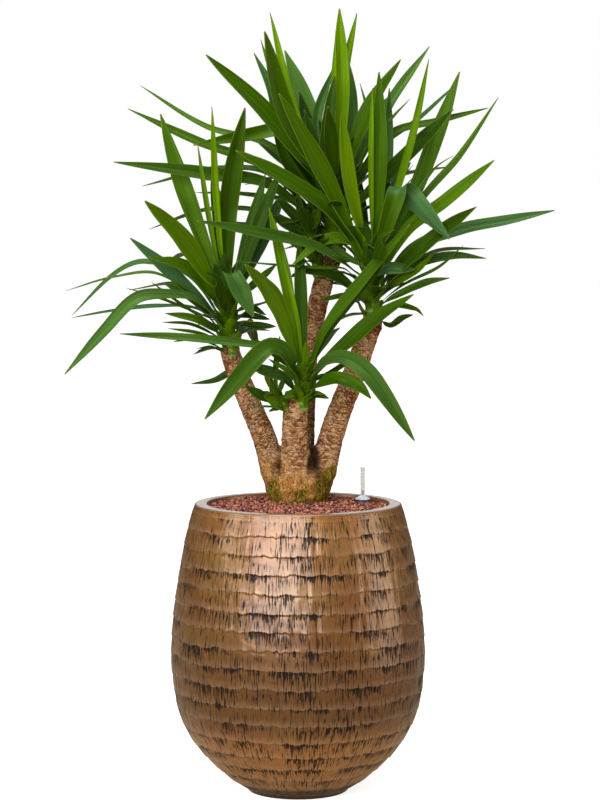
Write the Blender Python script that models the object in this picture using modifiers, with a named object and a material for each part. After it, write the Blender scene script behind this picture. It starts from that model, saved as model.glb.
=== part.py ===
"""Potted yucca: four canes on one stump, six leafy shoots, and a bellied planter with a water gauge.

Metres, +Z up, the front faces -Y. The origin is the centre of the planter's flat underside.
Plant tables are in millimetres and are scaled once, where they are used.
"""
import math

import bmesh
import bpy
from mathutils import Vector

MM = 0.001
GAP = 0.35 * MM                 # clearance between two pieces that touch on the real object
MERGE = 0.00005                 # merge distance of every modifier that merges

# Planter
POT_HEIGHT = 615 * MM
RIM_OUTER_R = 220 * MM
RIM_INNER_R = 193.5 * MM
RIM_ROUND = 4 * MM
BASE_R = 105 * MM
WALL = 20 * MM
FLOOR = 20 * MM
BAND_PITCH = 39 * MM            # one chiselled band, measured along the wall
FIRST_LIP = 44 * MM             # from the rim down to the first band's lower lip
BAND_STEP = 2.6 * MM            # how far a band's lower lip stands over the next band's top
POT_STEPS = 40
BELLY_SAMPLES = 240
INNER_LIFT = 4 * MM             # the inside of the wall follows the belly this much higher up
THROAT_Z = 578 * MM             # where the inside starts to narrow to the rim
THROAT_EXTRA_R = 8 * MM
MOUTH_Z = 594 * MM              # and where it has reached the rim's inner radius
# height and radius of the belly, from the base up to the plain strip under the rim, mm
BELLY = ((6, 109.5), (32, 150), (74, 195), (117, 229), (180, 257), (270, 269.5),
         (350, 268), (450, 255.5), (540, 239.5), (611, 221))

# Clay granules and buried roots
BED_EDGE_Z = 606 * MM           # surface of the granules at the planter's wall
BED_LOW_R = 150 * MM            # 2 mm higher than the edge here
BED_LOW_RISE = 2 * MM
BED_CREST_R = 90 * MM           # the mound is flat inside this radius
BED_CREST_Z = 613 * MM
BALL_TOP_Z = 572 * MM
BALL_DEPTH = 250 * MM
BALL_R = 120 * MM
BALL_STEPS = 28

# Stump, a turned form stretched along X: height and radius, mm
STUMP = ((572.5, 58), (600, 62), (614, 66), (640, 74), (668, 80), (692, 77), (716, 62), (738, 40))
STUMP_CENTRE = (4, 42)
STUMP_DEPTH_SCALE = 0.80
STUMP_STEPS = 24

# Canes: centre line x, y, z and radius, mm, from inside the stump to the sawn top
CANES = {
    "left": ((-34, 45, 630, 25), (-52, 46, 672, 26), (-71, 47, 747, 25.5), (-98, 49, 811, 24),
             (-120, 50, 865, 23), (-140, 51, 916, 21.5), (-147, 52, 944, 21)),
    "right": ((34, 50, 630, 27), (54, 52, 680, 27.5), (70, 54, 747, 27), (91, 57, 811, 25.5),
              (116, 60, 874, 24.5), (139, 62, 940, 23.5), (156, 64, 988, 22.5), (162, 65, 1010, 21.5)),
    "front": ((-2, 28, 640, 29), (-6, 18, 690, 29), (-7, 8, 745, 28.5), (-6, 0, 800, 26.5),
              (-4, -6, 851, 24.5)),
    "rear": ((8, 66, 640, 25), (11, 78, 700, 23.5), (14, 86, 760, 22), (17, 92, 850, 21.5),
             (22, 96, 937, 21.5), (35, 98, 1000, 22), (50, 99, 1063, 21.5), (64, 100, 1109, 20.5),
             (82, 101, 1146, 19.5)),
}
# short dead side stubs on the right and the rear cane
STUBS = {
    "right": ((150, 62, 975, 9), (172, 56, 980, 8), (183, 54, 983, 6)),
    "rear": ((78, 98, 1136, 12), (98, 90, 1146, 10), (106, 88, 1152, 8)),
}

# Shoots: foot and heart, and the radius at each, mm, and the cane that each grows from
SHOOTS = {
    "left": ((-141, 44, 925), (-152, 38, 1062), 15, 8, "left"),
    "right": ((159, 56, 1000), (151, 44, 1135), 16, 8, "right"),
    "top": ((82, 94, 1140), (78, 88, 1285), 15, 8, "rear"),
    "rear_left": ((44, 88, 1092), (24, 66, 1196), 11, 6, "rear"),
    "front": ((8, -12, 818), (14, -52, 905), 14, 8, "front"),
    "front_side": ((-18, -10, 812), (-50, -40, 852), 9, 6, "front"),
}

# Leaves: shoot, place along it from foot (0) to heart (1), greatest width, the way the upper side
# faces, and the points that the blade passes through after its foot, mm. The last is the tip.
LEAVES = {
    "top_leaf_wide_left": ("top", 0.80, 42, (0.5, -1, 0.4), ((-60, 50, 1432), (-193, 10, 1560))),
    "top_leaf_dark_upright": ("top", 0.92, 42, (0.3, -1, 0.2), ((-22, 10, 1430), (-69, -60, 1604))),
    "top_leaf_blue_upright": ("top", 0.97, 42, (0.3, -1, 0.0), ((34, 196, 1420), (-29, 236, 1582))),
    "top_leaf_folded": ("top", 0.62, 32, (0, -1, 0.25),
                        ((34, 116, 1345), (46, 122, 1402), (16, 118, 1416), (-100, 100, 1396),
                         (-222, 60, 1372))),
    "top_leaf_bright_upright": ("top", 1.0, 35, (0.1, -1, 0.1), ((92, 78, 1480), (88, 90, 1662))),
    "top_leaf_dark_right": ("top", 0.86, 34, (-0.5, -1, 0.3), ((145, 84, 1440), (218, 78, 1554))),
    "top_leaf_blue_right": ("top", 0.76, 24, (-0.3, -1, 0.2), ((195, 156, 1460), (285, 196, 1588))),
    "top_leaf_wide_right": ("top", 0.50, 38, (-0.4, -1, 0.5), ((205, 74, 1325), (329, 52, 1448))),
    "top_leaf_arching_right": ("top", 0.70, 21, (0, -0.8, 0.6),
                               ((200, 134, 1396), (300, 146, 1425), (411, 156, 1454))),
    "top_leaf_long_left": ("top", 0.46, 24, (0, -0.8, 0.6),
                           ((-60, 118, 1322), (-210, 130, 1379), (-367, 150, 1452))),
    "top_leaf_low_left": ("top", 0.26, 31, (0, -0.9, 0.5),
                          ((-60, 84, 1288), (-190, 66, 1311), (-390, 30, 1336))),
    "top_leaf_back_left": ("top", 0.58, 34, (0.2, -0.5, 1), ((10, 260, 1400), (-60, 420, 1440))),
    "top_leaf_back_right": ("top", 0.36, 34, (-0.2, -0.3, 1), ((150, 260, 1330), (210, 430, 1330))),
    "right_leaf_bright_upright": ("right", 1.0, 31, (0.2, -1, 0.1), ((109, -24, 1290), (90, -80, 1437))),
    "right_leaf_wide_left": ("right", 0.90, 43, (0.5, -1, 0.3), ((59, -10, 1300), (-39, -90, 1475))),
    "right_leaf_upright": ("right", 0.96, 33, (0, -1, 0.1), ((172, 34, 1330), (171, 42, 1526))),
    "right_leaf_narrow_upright": ("right", 0.88, 17, (-0.2, -1, 0.1),
                                  ((214, 36, 1290), (247, 32, 1412), (276, 34, 1553))),
    "right_leaf_tall": ("right", 0.80, 38, (-0.4, -1, 0.2),
                        ((246, 112, 1263), (300, 116, 1400), (346, 120, 1530))),
    "right_leaf_long_upper": ("right", 0.62, 18, (-0.3, -0.7, 0.6),
                              ((262, 80, 1254), (345, 86, 1350), (428, 96, 1475))),
    "right_leaf_bright_lower": ("right", 0.48, 35, (-0.4, -1, 0.6),
                                ((228, 38, 1188), (310, 32, 1252), (414, 22, 1340))),
    "right_leaf_dark_lower": ("right", 0.30, 38, (-0.3, -1, 0.6),
                              ((214, 4, 1113), (286, -38, 1179), (368, -110, 1242))),
    "right_leaf_far_reaching": ("right", 0.40, 28, (0, -1, 0.5),
                                ((240, 80, 1150), (350, 90, 1194), (440, 80, 1212), (546, 60, 1234))),
    "right_leaf_folded": ("right", 0.80, 43,
                          ((0, -1, 0), (0, -1, 0.2), (-0.2, 0, 1), (0, 1, 0.3), (0, 1, 0.3)),
                          ((187, -4, 1205), (202, -10, 1254), (216, 6, 1284), (240, 10, 1262),
                           (315, -84, 1175))),
    "right_leaf_long_left": ("right", 0.66, 25, (0, -1, 0.35),
                             ((38, -20, 1159), (-88, -80, 1190), (-209, -130, 1214))),
    "right_leaf_back": ("right", 0.45, 34, (-0.2, -0.4, 1), ((230, 230, 1210), (300, 390, 1200))),
    "left_leaf_tall": ("left", 0.88, 40, (0.4, -1, 0.2),
                       ((-212, 84, 1190), (-262, 108, 1330), (-295, 120, 1440))),
    "left_leaf_dark_upright": ("left", 1.0, 41, (0.1, -1, 0.1),
                               ((-148, 50, 1230), (-128, 38, 1370), (-112, 36, 1450))),
    "left_leaf_wide_bright": ("left", 0.78, 46, (0.5, -1, 0.4), ((-232, -50, 1162), (-313, -150, 1254))),
    "left_leaf_blue": ("left", 0.50, 32, (0.4, -1, 0.5), ((-250, 18, 1086), (-354, 8, 1176))),
    "left_leaf_low_green": ("left", 0.62, 32, (0, -0.9, 0.7), ((-224, 0, 1107), (-310, -60, 1137))),
    "left_leaf_kinked": ("left", 0.46, 17, (0, -0.6, 0.9),
                         ((-230, 84, 1092), (-330, 100, 1124), (-394, 104, 1098), (-487, 104, 1008))),
    "left_leaf_big_drooping": ("left", 0.36, 27, (0.2, -0.9, 0.6),
                               ((-214, -14, 1047), (-286, -50, 1060), (-340, -74, 1050),
                                (-402, -100, 986), (-482, -130, 897))),
    "left_leaf_folded_front": ("left", 0.96, 42,
                               ((0, 1, 0.2), (0, -0.2, 1), (0.2, -1, 0.4), (0.2, -1, 0.3)),
                               ((-150, 14, 1086), (-142, -6, 1103), (-127, -24, 1078), (-93, -44, 1012))),
    "left_leaf_leaning_right": ("left", 0.84, 29, (-0.3, -1, 0.1), ((-92, 42, 1180), (-35, 46, 1325))),
    "left_leaf_back": ("left", 0.62, 34, (0.2, -0.4, 1), ((-230, 220, 1130), (-290, 380, 1120))),
    "front_leaf_wide": ("front", 0.94, 43, (0.5, -1, 0.3), ((-45, -110, 1042), (-108, -190, 1126))),
    "front_leaf_long_left": ("front", 0.56, 19, (0, -0.9, 0.4),
                             ((-30, -54, 936), (-84, -54, 953), (-241, -56, 970), (-373, -54, 977))),
    "front_leaf_folded": ("front", 0.40, 39, (0, -1, 0.3),
                          ((-22, -100, 938), (-60, -122, 954), (-126, -150, 886), (-191, -172, 808))),
    "front_leaf_tall_right": ("front", 0.82, 27, (-0.5, -1, 0.3),
                              ((58, -60, 990), (137, -44, 1092), (235, -14, 1205))),
    "front_leaf_dark_right": ("front", 0.58, 35, (-0.4, -1, 0.5),
                              ((58, -46, 918), (112, -36, 965), (165, -30, 1010), (243, -24, 1059))),
    "front_leaf_drooping_right": ("front", 0.34, 37, (-0.1, -1, 0.6),
                                  ((47, -84, 913), (90, -120, 932), (137, -150, 908), (171, -170, 867),
                                   (238, -200, 766))),
    "front_side_leaf_dark": ("front_side", 0.55, 24, (0.3, -0.9, 0.6),
                             ((-76, -52, 846), (-112, -60, 868))),
}
LEAF_THICKNESS = 1.6 * MM
LEAF_FOOT_WIDTH = 0.42          # of the greatest width
LEAF_WIDEST = 0.55              # where along the blade it is widest
LEAF_TIP_WIDTH = 1.6 * MM
LEAF_CREASE = 0.09              # depth of the shallow V section, of the width
CREASE_START = 0.1              # the foot lies flat on the shoot, and the V is full from here
LEAF_ROWS = 3                   # and three more for each point that the blade passes through
TWIST_END = 0.35                # the blade has turned to its own facing by here

# Water gauge: centre x, y, then radii and heights
GAUGE_XY = (139 * MM, 70 * MM)
GUIDE_R = 13 * MM
GUIDE_BORE_R = 11.5 * MM
GUIDE_FOOT_Z = 84 * MM
GUIDE_TOP_Z = 608 * MM
FOOT_CAP_Z = 78 * MM
COLLAR_R = 16.5 * MM
COLLAR_SKIRT_Z = 596 * MM
COLLAR_SHOULDER_Z = 611 * MM
COLLAR_TOP_Z = 624 * MM
COLLAR_BORE_R = 2.8 * MM
SIGHT_R = 5.15 * MM
SIGHT_BORE_R = 3.6 * MM
SIGHT_TOP_Z = 683.5 * MM
PLUG_HEIGHT = 3 * MM
POINTER_R = 2.4 * MM
POINTER_HEIGHT = 8 * MM
FLOAT_R = 10 * MM
FLOAT_HEIGHT = 60 * MM
FLOAT_TRAVEL = 45 * MM
ROD_R = 1.0 * MM

COLOURS = {                     # linear colour, roughness, metallic
    "bronze_lacquer": ((0.30, 0.17, 0.085), 0.34, 0.7),
    "fired_clay": ((0.36, 0.14, 0.09), 0.9, 0.0),
    "roots": ((0.12, 0.07, 0.04), 0.95, 0.0),
    "bark": ((0.24, 0.12, 0.06), 0.85, 0.0),
    "shoot": ((0.20, 0.36, 0.04), 0.5, 0.0),
    "leaf": ((0.06, 0.17, 0.01), 0.42, 0.0),
    "dark_plastic": ((0.10, 0.12, 0.16), 0.4, 0.0),
    "clear_plastic": ((0.8, 0.8, 0.8), 0.08, 0.0),
    "white_foam": ((0.8, 0.8, 0.78), 0.8, 0.0),
    "steel": ((0.6, 0.6, 0.6), 0.3, 1.0),
    "red_plastic": ((0.55, 0.01, 0.01), 0.35, 0.0),
}


def empty_scene():
    for obj in list(bpy.data.objects):
        bpy.data.objects.remove(obj, do_unlink=True)


def new_collection(name):
    collection = bpy.data.collections.new(name)
    bpy.context.scene.collection.children.link(collection)
    return collection


def material(name):
    colour, roughness, metallic = COLOURS[name]
    made = bpy.data.materials.get(name) or bpy.data.materials.new(name)
    made.use_nodes = True
    shader = made.node_tree.nodes["Principled BSDF"]
    shader.inputs["Base Color"].default_value = (*colour, 1.0)
    shader.inputs["Roughness"].default_value = roughness
    shader.inputs["Metallic"].default_value = metallic
    return made


def add_object(name, mesh, collection, finish=None):
    obj = bpy.data.objects.new(name, mesh)
    collection.objects.link(obj)
    if finish:
        obj.data.materials.append(material(finish))
    return obj


def as_cutter(obj):
    obj.hide_render = True
    obj.display_type = "WIRE"
    return obj


def smooth_path(points, share):
    """Point at a share (0 to 1) of a smooth curve through the points, spaced by their distances."""
    lengths = [0.0]
    for before, after in zip(points, points[1:]):
        lengths.append(lengths[-1] + (after - before).length)
    place = share * lengths[-1]
    index = 0
    while index < len(points) - 2 and place > lengths[index + 1]:
        index += 1
    span = lengths[index + 1] - lengths[index]
    t = (place - lengths[index]) / span

    def slope(i):
        if i == 0:
            return (points[1] - points[0]) / lengths[1]
        if i == len(points) - 1:
            return (points[-1] - points[-2]) / (lengths[-1] - lengths[-2])
        return (points[i + 1] - points[i - 1]) / (lengths[i + 1] - lengths[i - 1])

    start = points[index]
    end = points[index + 1]
    h10 = t * (1 - t) ** 2
    h01 = t * t * (3 - 2 * t)
    h11 = t * t * (t - 1)
    return start * (1 - h01) + slope(index) * (h10 * span) + end * h01 + slope(index + 1) * (h11 * span)


def turned(name, profile, steps, collection, finish=None):
    """Solid of revolution about Z. The profile runs from the axis, up inside, and down outside.

    A profile that ends where it starts is a closed loop, and gives a tube.
    """
    mesh = bpy.data.meshes.new(name)
    corners = profile[:-1] if profile[0] == profile[-1] else profile
    edges = [(i, (i + 1) % len(corners)) for i in range(len(profile) - 1)]
    mesh.from_pydata([(radius, 0, height) for radius, height in corners], edges, [])
    obj = add_object(name, mesh, collection, finish)
    screw = obj.modifiers.new("turn", "SCREW")
    screw.steps = steps
    screw.render_steps = steps
    screw.use_merge_vertices = True
    screw.merge_threshold = MERGE
    return obj


def ring_profile(inner, outer, bottom, top):
    """Closed rectangle of a tube's wall, for turned()."""
    return [(inner, bottom), (inner, top), (outer, top), (outer, bottom), (inner, bottom)]


def rod_profile(radius, bottom, top):
    return [(0, top), (radius, top), (radius, bottom), (0, bottom)]


def boolean(obj, operand, operation):
    step = obj.modifiers.new(operand.name, "BOOLEAN")
    step.object = operand
    step.operation = operation
    step.solver = "EXACT"


def shade(obj, degrees=35):
    obj.data.shade_smooth()
    obj.data.set_sharp_from_angle(angle=math.radians(degrees))


# ---------------------------------------------------------------- planter

def belly_points():
    """Outer wall as a smooth curve, from the plain strip under the rim down to the base."""
    corners = [Vector((radius * MM, 0, height * MM)) for height, radius in BELLY]
    points = [smooth_path(corners, i / BELLY_SAMPLES) for i in range(BELLY_SAMPLES + 1)]
    points.reverse()
    return points


def banded_wall():
    """Radius and height down the chiselled wall: each band slopes out to its lip, then steps in."""
    points = belly_points()
    profile = []
    walked = 0.0
    lip_at = FIRST_LIP
    for before, after in zip(points, points[1:]):
        along = after - before
        if walked <= lip_at < walked + along.length:
            here = before + along * ((lip_at - walked) / along.length)
            outward = Vector((-along.z, 0, along.x)).normalized()
            lip = here + outward * (BAND_STEP / 2)
            foot = here - outward * (BAND_STEP / 2) + along.normalized() * (1.2 * MM)
            profile += [(lip.x, lip.z), (foot.x, foot.z)]
            lip_at += BAND_PITCH
        walked += along.length
    return profile


def inner_wall(offset=0.0):
    """Radius and height up the inside of the planter, from the floor to the mouth."""
    profile = [(0, FLOOR + offset), (92 * MM - offset, FLOOR + offset)]
    for height, radius in BELLY[2:-1]:
        profile.append((radius * MM - WALL - offset, height * MM + INNER_LIFT))
    profile.append((RIM_INNER_R + THROAT_EXTRA_R - offset, THROAT_Z))
    profile.append((RIM_INNER_R - offset, MOUTH_Z))
    return profile


def build_pot(parts):
    profile = inner_wall()
    profile.append((RIM_INNER_R, POT_HEIGHT))
    profile.append((RIM_OUTER_R - RIM_ROUND, POT_HEIGHT))
    profile.append((RIM_OUTER_R, POT_HEIGHT - RIM_ROUND))
    profile += banded_wall()
    profile += [(BELLY[0][1] * MM, BELLY[0][0] * MM), (BASE_R, 0), (0, 0)]
    pot = turned("pot", profile, POT_STEPS, parts, "bronze_lacquer")
    shade(pot)


# ---------------------------------------------------------------- granules, roots and trunk

def ball_profile(extra):
    """The root mass: straight sides that narrow downwards, with a rounded lower edge."""
    bottom = BALL_TOP_Z - BALL_DEPTH
    return [(0, BALL_TOP_Z + extra), (BALL_R * 0.92 + extra, BALL_TOP_Z + extra),
            (BALL_R + extra, BALL_TOP_Z - 18 * MM), (BALL_R * 0.88 + extra, bottom + 40 * MM),
            (BALL_R * 0.66 + extra, bottom - extra), (0, bottom - extra)]


def stump(name, extra, collection, bottom_extra=0.0):
    profile = [(0, STUMP[-1][0] * MM + extra)]
    for height, radius in reversed(STUMP):
        profile.append((radius * MM + extra, height * MM))
    profile[-1] = (profile[-1][0], profile[-1][1] - bottom_extra)
    profile.append((0, STUMP[0][0] * MM - bottom_extra))
    obj = turned(name, profile, STUMP_STEPS, collection)
    obj.location = (STUMP_CENTRE[0] * MM, STUMP_CENTRE[1] * MM, 0)
    obj.scale = (1, STUMP_DEPTH_SCALE, 1)
    return obj


def limb(name, stations, extra, collection, sides=6):
    """Closed tube through x, y, z, radius stations (mm), as a mesh so that it can be joined or cut."""
    curve = bpy.data.curves.new(name, "CURVE")
    curve.dimensions = "3D"
    curve.bevel_depth = 1.0
    curve.bevel_resolution = sides
    curve.use_fill_caps = True
    curve.twist_mode = "MINIMUM"
    spline = curve.splines.new("POLY")
    spline.points.add(len(stations) - 1)
    centres = [Vector(station[:3]) * MM for station in stations]
    centres[-1] += (centres[-1] - centres[-2]).normalized() * extra
    for point, centre, station in zip(spline.points, centres, stations):
        point.co = (*centre, 1)
        point.radius = station[3] * MM + extra
    drawn = bpy.data.objects.new(name, curve)
    bpy.context.scene.collection.objects.link(drawn)
    bpy.context.view_layer.update()
    evaluated = drawn.evaluated_get(bpy.context.evaluated_depsgraph_get())
    mesh = bpy.data.meshes.new_from_object(evaluated)
    bpy.data.objects.remove(drawn)
    welded = bmesh.new()
    welded.from_mesh(mesh)
    bmesh.ops.remove_doubles(welded, verts=welded.verts, dist=MERGE)
    bmesh.ops.recalc_face_normals(welded, faces=welded.faces)
    welded.to_mesh(mesh)
    welded.free()
    return add_object(name, mesh, collection)


def build_trunk(parts, cutters):
    trunk = stump("trunk", 0.0, parts)
    trunk.data.materials.append(material("bark"))
    for side, stations in CANES.items():
        boolean(trunk, as_cutter(limb(f"cane_{side}", stations, 0.0, cutters)), "UNION")
    for side, stations in STUBS.items():
        boolean(trunk, as_cutter(limb(f"stub_{side}", stations, 0.0, cutters, 3)), "UNION")
    shade(trunk, 50)


def build_root_ball(parts):
    ball = turned("root_ball", ball_profile(0.0), BALL_STEPS, parts, "roots")
    ball.location = (STUMP_CENTRE[0] * MM, STUMP_CENTRE[1] * MM, 0)
    shade(ball)


def build_granules(parts, cutters):
    """The whole bed under its gently mounded surface, less the roots, the stump and the gauge."""
    profile = inner_wall(GAP)
    profile.append((RIM_INNER_R - GAP, BED_EDGE_Z))
    profile.append((BED_LOW_R, BED_EDGE_Z + BED_LOW_RISE))
    profile.append((BED_CREST_R, BED_CREST_Z))
    profile.append((0, BED_CREST_Z))
    profile.reverse()
    bed = turned("clay_granules", profile, POT_STEPS, parts, "fired_clay")
    ball = turned("root_space", ball_profile(GAP), BALL_STEPS, cutters)
    ball.location = (STUMP_CENTRE[0] * MM, STUMP_CENTRE[1] * MM, 0)
    boolean(bed, as_cutter(ball), "DIFFERENCE")
    boolean(bed, as_cutter(stump("stump_space", GAP * 1.4, cutters, 4 * MM)), "DIFFERENCE")
    above = BED_CREST_Z + 10 * MM
    well = [(0, above), (COLLAR_R + GAP, above), (COLLAR_R + GAP, COLLAR_SKIRT_Z - GAP),
            (GUIDE_R + GAP, COLLAR_SKIRT_Z - GAP), (GUIDE_R + GAP, FOOT_CAP_Z - GAP),
            (0, FOOT_CAP_Z - GAP)]
    space = turned("gauge_space", well, 24, cutters)
    space.location = (*GAUGE_XY, 0)
    boolean(bed, as_cutter(space), "DIFFERENCE")
    shade(bed)


# ---------------------------------------------------------------- shoots and leaves

def shoot_radius(shoot, along):
    foot_r, heart_r = SHOOTS[shoot][2:4]
    return (foot_r + (heart_r - foot_r) * along) * MM


def build_shoots(parts, cutters):
    for shoot, (foot, heart, foot_r, heart_r, cane) in SHOOTS.items():
        middle = [(a + b) / 2 for a, b in zip(foot, heart)]
        stations = ((*foot, foot_r), (*middle, (foot_r + heart_r) / 2), (*heart, heart_r))
        obj = limb(f"{shoot}_shoot", stations, 0.0, parts)
        obj.data.materials.append(material("shoot"))
        space = limb(f"{shoot}_seat", CANES[cane], GAP, cutters)
        boolean(obj, as_cutter(space), "DIFFERENCE")
        if cane in STUBS:
            stub = limb(f"{shoot}_stub_seat", STUBS[cane], GAP, cutters, 3)
            boolean(obj, as_cutter(stub), "DIFFERENCE")
        shade(obj)


def leaf_width(share, widest):
    """Width along a blade: narrow foot, widest past the middle, then a long taper to the tip."""
    rise = min(share / LEAF_WIDEST, 1.0)
    rise = rise * rise * (3 - 2 * rise)
    width = widest * (LEAF_FOOT_WIDTH + (1 - LEAF_FOOT_WIDTH) * rise)
    if share > LEAF_WIDEST:
        width *= 1 - ((share - LEAF_WIDEST) / (1 - LEAF_WIDEST)) ** 1.8
    return max(width, LEAF_TIP_WIDTH)


def leaf_foot(shoot, along, first):
    """Centre of the blade's foot on the shoot's skin, and the way out of the shoot there."""
    foot = Vector(SHOOTS[shoot][0]) * MM
    heart = Vector(SHOOTS[shoot][1]) * MM
    axis = (heart - foot).normalized()
    centre = foot.lerp(heart, along)
    towards = first - centre
    outward = (towards - axis * towards.dot(axis)).normalized()
    steep = abs(towards.normalized().dot(axis))
    reach = shoot_radius(shoot, along) + GAP + LEAF_THICKNESS / 2 * steep
    return centre + outward * reach, outward


def facing_at(facings, points, share):
    """Facing at a share of the blade: constant, or changing from point to point past the foot."""
    lengths = [(after - before).length for before, after in zip(points, points[1:])]
    place = share * sum(lengths) - lengths[0]
    if place <= 0 or len(facings) == 2:
        return facings[0].normalized()
    index = 0
    while index < len(facings) - 2 and place > lengths[index + 1]:
        place -= lengths[index + 1]
        index += 1
    return facings[index].lerp(facings[index + 1], min(place / lengths[index + 1], 1)).normalized()


def build_leaf(name, parts):
    shoot, along, widest, facing, path = LEAVES[name]
    points = [Vector(point) * MM for point in path]
    foot, outward = leaf_foot(shoot, along, points[0])
    points.insert(0, foot)
    facings = [Vector(way) for way in facing] if isinstance(facing[0], tuple) else [Vector(facing)] * 2
    grid = bmesh.new()
    bmesh.ops.create_grid(grid, x_segments=2, y_segments=LEAF_ROWS + 3 * len(path), size=1.0)
    for vert in grid.verts:
        across = vert.co.x
        share = (vert.co.y + 1) / 2
        centre = smooth_path(points, share)
        tangent = smooth_path(points, min(share + 0.01, 1)) - smooth_path(points, max(share - 0.01, 0))
        tangent.normalize()
        turn = min(share / TWIST_END, 1.0)
        turn = turn * turn * (3 - 2 * turn)
        face = (-outward).lerp(facing_at(facings, points, share), turn)
        face = (face - tangent * face.dot(tangent)).normalized()
        sideways = tangent.cross(face)
        width = leaf_width(share, widest * MM)
        crease = LEAF_CREASE * width * (abs(across) - 0.5) * min(share / CREASE_START, 1.0)
        vert.co = centre + sideways * (across * width / 2) + face * crease
    mesh = bpy.data.meshes.new(name)
    grid.to_mesh(mesh)
    grid.free()
    leaf = add_object(name, mesh, parts, "leaf")
    shell = leaf.modifiers.new("thickness", "SOLIDIFY")
    shell.thickness = LEAF_THICKNESS
    shell.offset = 0
    shade(leaf, 60)


# ---------------------------------------------------------------- water gauge

def build_gauge(parts):
    pieces = []

    def piece(name, profile, steps, finish):
        obj = turned(name, profile, steps, parts, finish)
        shade(obj)
        pieces.append(obj)

    piece("gauge_guide_tube", ring_profile(GUIDE_BORE_R, GUIDE_R, GUIDE_FOOT_Z, GUIDE_TOP_Z),
          24, "dark_plastic")
    cap_top = GUIDE_FOOT_Z - GAP
    piece("gauge_foot_cap", rod_profile(GUIDE_R, FOOT_CAP_Z, cap_top), 24, "dark_plastic")
    skirt_bore = GUIDE_R + GAP
    collar = [(COLLAR_BORE_R, GUIDE_TOP_Z + GAP), (COLLAR_BORE_R, COLLAR_TOP_Z),
              (SIGHT_R + 1.2 * MM, COLLAR_TOP_Z), (SIGHT_R + 2.4 * MM, COLLAR_TOP_Z - 3 * MM),
              (COLLAR_R, COLLAR_SHOULDER_Z), (COLLAR_R, COLLAR_SKIRT_Z), (skirt_bore, COLLAR_SKIRT_Z),
              (skirt_bore, GUIDE_TOP_Z + GAP), (COLLAR_BORE_R, GUIDE_TOP_Z + GAP)]
    piece("gauge_collar", collar, 28, "dark_plastic")
    sight_foot = COLLAR_TOP_Z + GAP
    plug_foot = SIGHT_TOP_Z - PLUG_HEIGHT
    piece("gauge_sight_tube", ring_profile(SIGHT_BORE_R, SIGHT_R, sight_foot, plug_foot - GAP),
          20, "clear_plastic")
    piece("gauge_top_plug", rod_profile(SIGHT_R, plug_foot, SIGHT_TOP_Z), 20, "dark_plastic")
    float_foot = cap_top + GAP
    float_top = float_foot + FLOAT_HEIGHT
    piece("gauge_float", rod_profile(FLOAT_R, float_foot, float_top), 20, "white_foam")
    pointer_foot = plug_foot - GAP - 1 * MM - FLOAT_TRAVEL - POINTER_HEIGHT
    piece("gauge_rod", rod_profile(ROD_R, float_top + GAP, pointer_foot - GAP), 10, "steel")
    piece("gauge_pointer", rod_profile(POINTER_R, pointer_foot, pointer_foot + POINTER_HEIGHT),
          16, "red_plastic")
    for obj in pieces:
        obj.location = (*GAUGE_XY, 0)


def main():
    empty_scene()
    parts = new_collection("potted_yucca")
    cutters = new_collection("cutters")
    build_pot(parts)
    build_root_ball(parts)
    build_granules(parts, cutters)
    build_trunk(parts, cutters)
    build_shoots(parts, cutters)
    for name in LEAVES:
        build_leaf(name, parts)
    build_gauge(parts)


main()
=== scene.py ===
"""Potted yucca: the looks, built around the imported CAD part.

Everything is in metres in the part's own frame: +Z up, the front faces -Y, and the origin is the
centre of the planter's underside. The plant tables are in millimetres, as in the part's source.
"""

import math

import bpy
import numpy as np
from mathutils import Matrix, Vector


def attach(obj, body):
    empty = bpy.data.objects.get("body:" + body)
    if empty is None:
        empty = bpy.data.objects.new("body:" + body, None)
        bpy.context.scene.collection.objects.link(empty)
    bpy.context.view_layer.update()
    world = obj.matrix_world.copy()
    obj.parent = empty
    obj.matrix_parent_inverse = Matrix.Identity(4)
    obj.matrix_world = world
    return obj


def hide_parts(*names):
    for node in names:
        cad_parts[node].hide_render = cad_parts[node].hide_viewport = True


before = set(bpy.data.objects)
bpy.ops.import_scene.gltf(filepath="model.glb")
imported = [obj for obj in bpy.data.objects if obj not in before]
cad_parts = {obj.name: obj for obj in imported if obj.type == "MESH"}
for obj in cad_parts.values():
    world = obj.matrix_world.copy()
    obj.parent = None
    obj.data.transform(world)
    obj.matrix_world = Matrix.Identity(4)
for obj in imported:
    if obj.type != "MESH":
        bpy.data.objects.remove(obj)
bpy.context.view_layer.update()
bpy.ops.object.select_all(action="DESELECT")

MM = 0.001
SAME_POINT = 0.02 * MM          # points nearer than this are merged
GOLDEN_ANGLE = math.radians(137.5)


# ---------------------------------------------------------------- camera

CAMERA_PLACE = (0.0042, -5.5, 1.26)
CAMERA_DIP = 4.43               # degrees below level
CAMERA_LENS = 117.3             # mm, on a sensor 36 mm wide


def set_up_camera():
    """Eye level a little above the crown's middle, 5.5 m away, looking slightly down."""
    bpy.ops.object.camera_add(location=CAMERA_PLACE, rotation=(math.radians(90 - CAMERA_DIP), 0, 0))
    camera = bpy.context.object
    camera.name = "studio_camera"
    camera.data.lens = CAMERA_LENS
    camera.data.sensor_width = 36.0
    camera.data.clip_end = 100.0
    bpy.context.scene.camera = camera


# ---------------------------------------------------------------- materials

def linear(hex_colour):
    """sRGB hex to linear red, green, blue and full alpha."""
    shares = [int(hex_colour[i:i + 2], 16) / 255 for i in (1, 3, 5)]
    return [s / 12.92 if s <= 0.04045 else ((s + 0.055) / 1.055) ** 2.4 for s in shares] + [1.0]


def fill_sockets(tree, node, sockets):
    """Each socket, by name or by place, takes a number, a colour or another node's output."""
    for place, value in sockets.items():
        if isinstance(value, bpy.types.NodeSocket):
            tree.links.new(value, node.inputs[place])
        else:
            node.inputs[place].default_value = value


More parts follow.
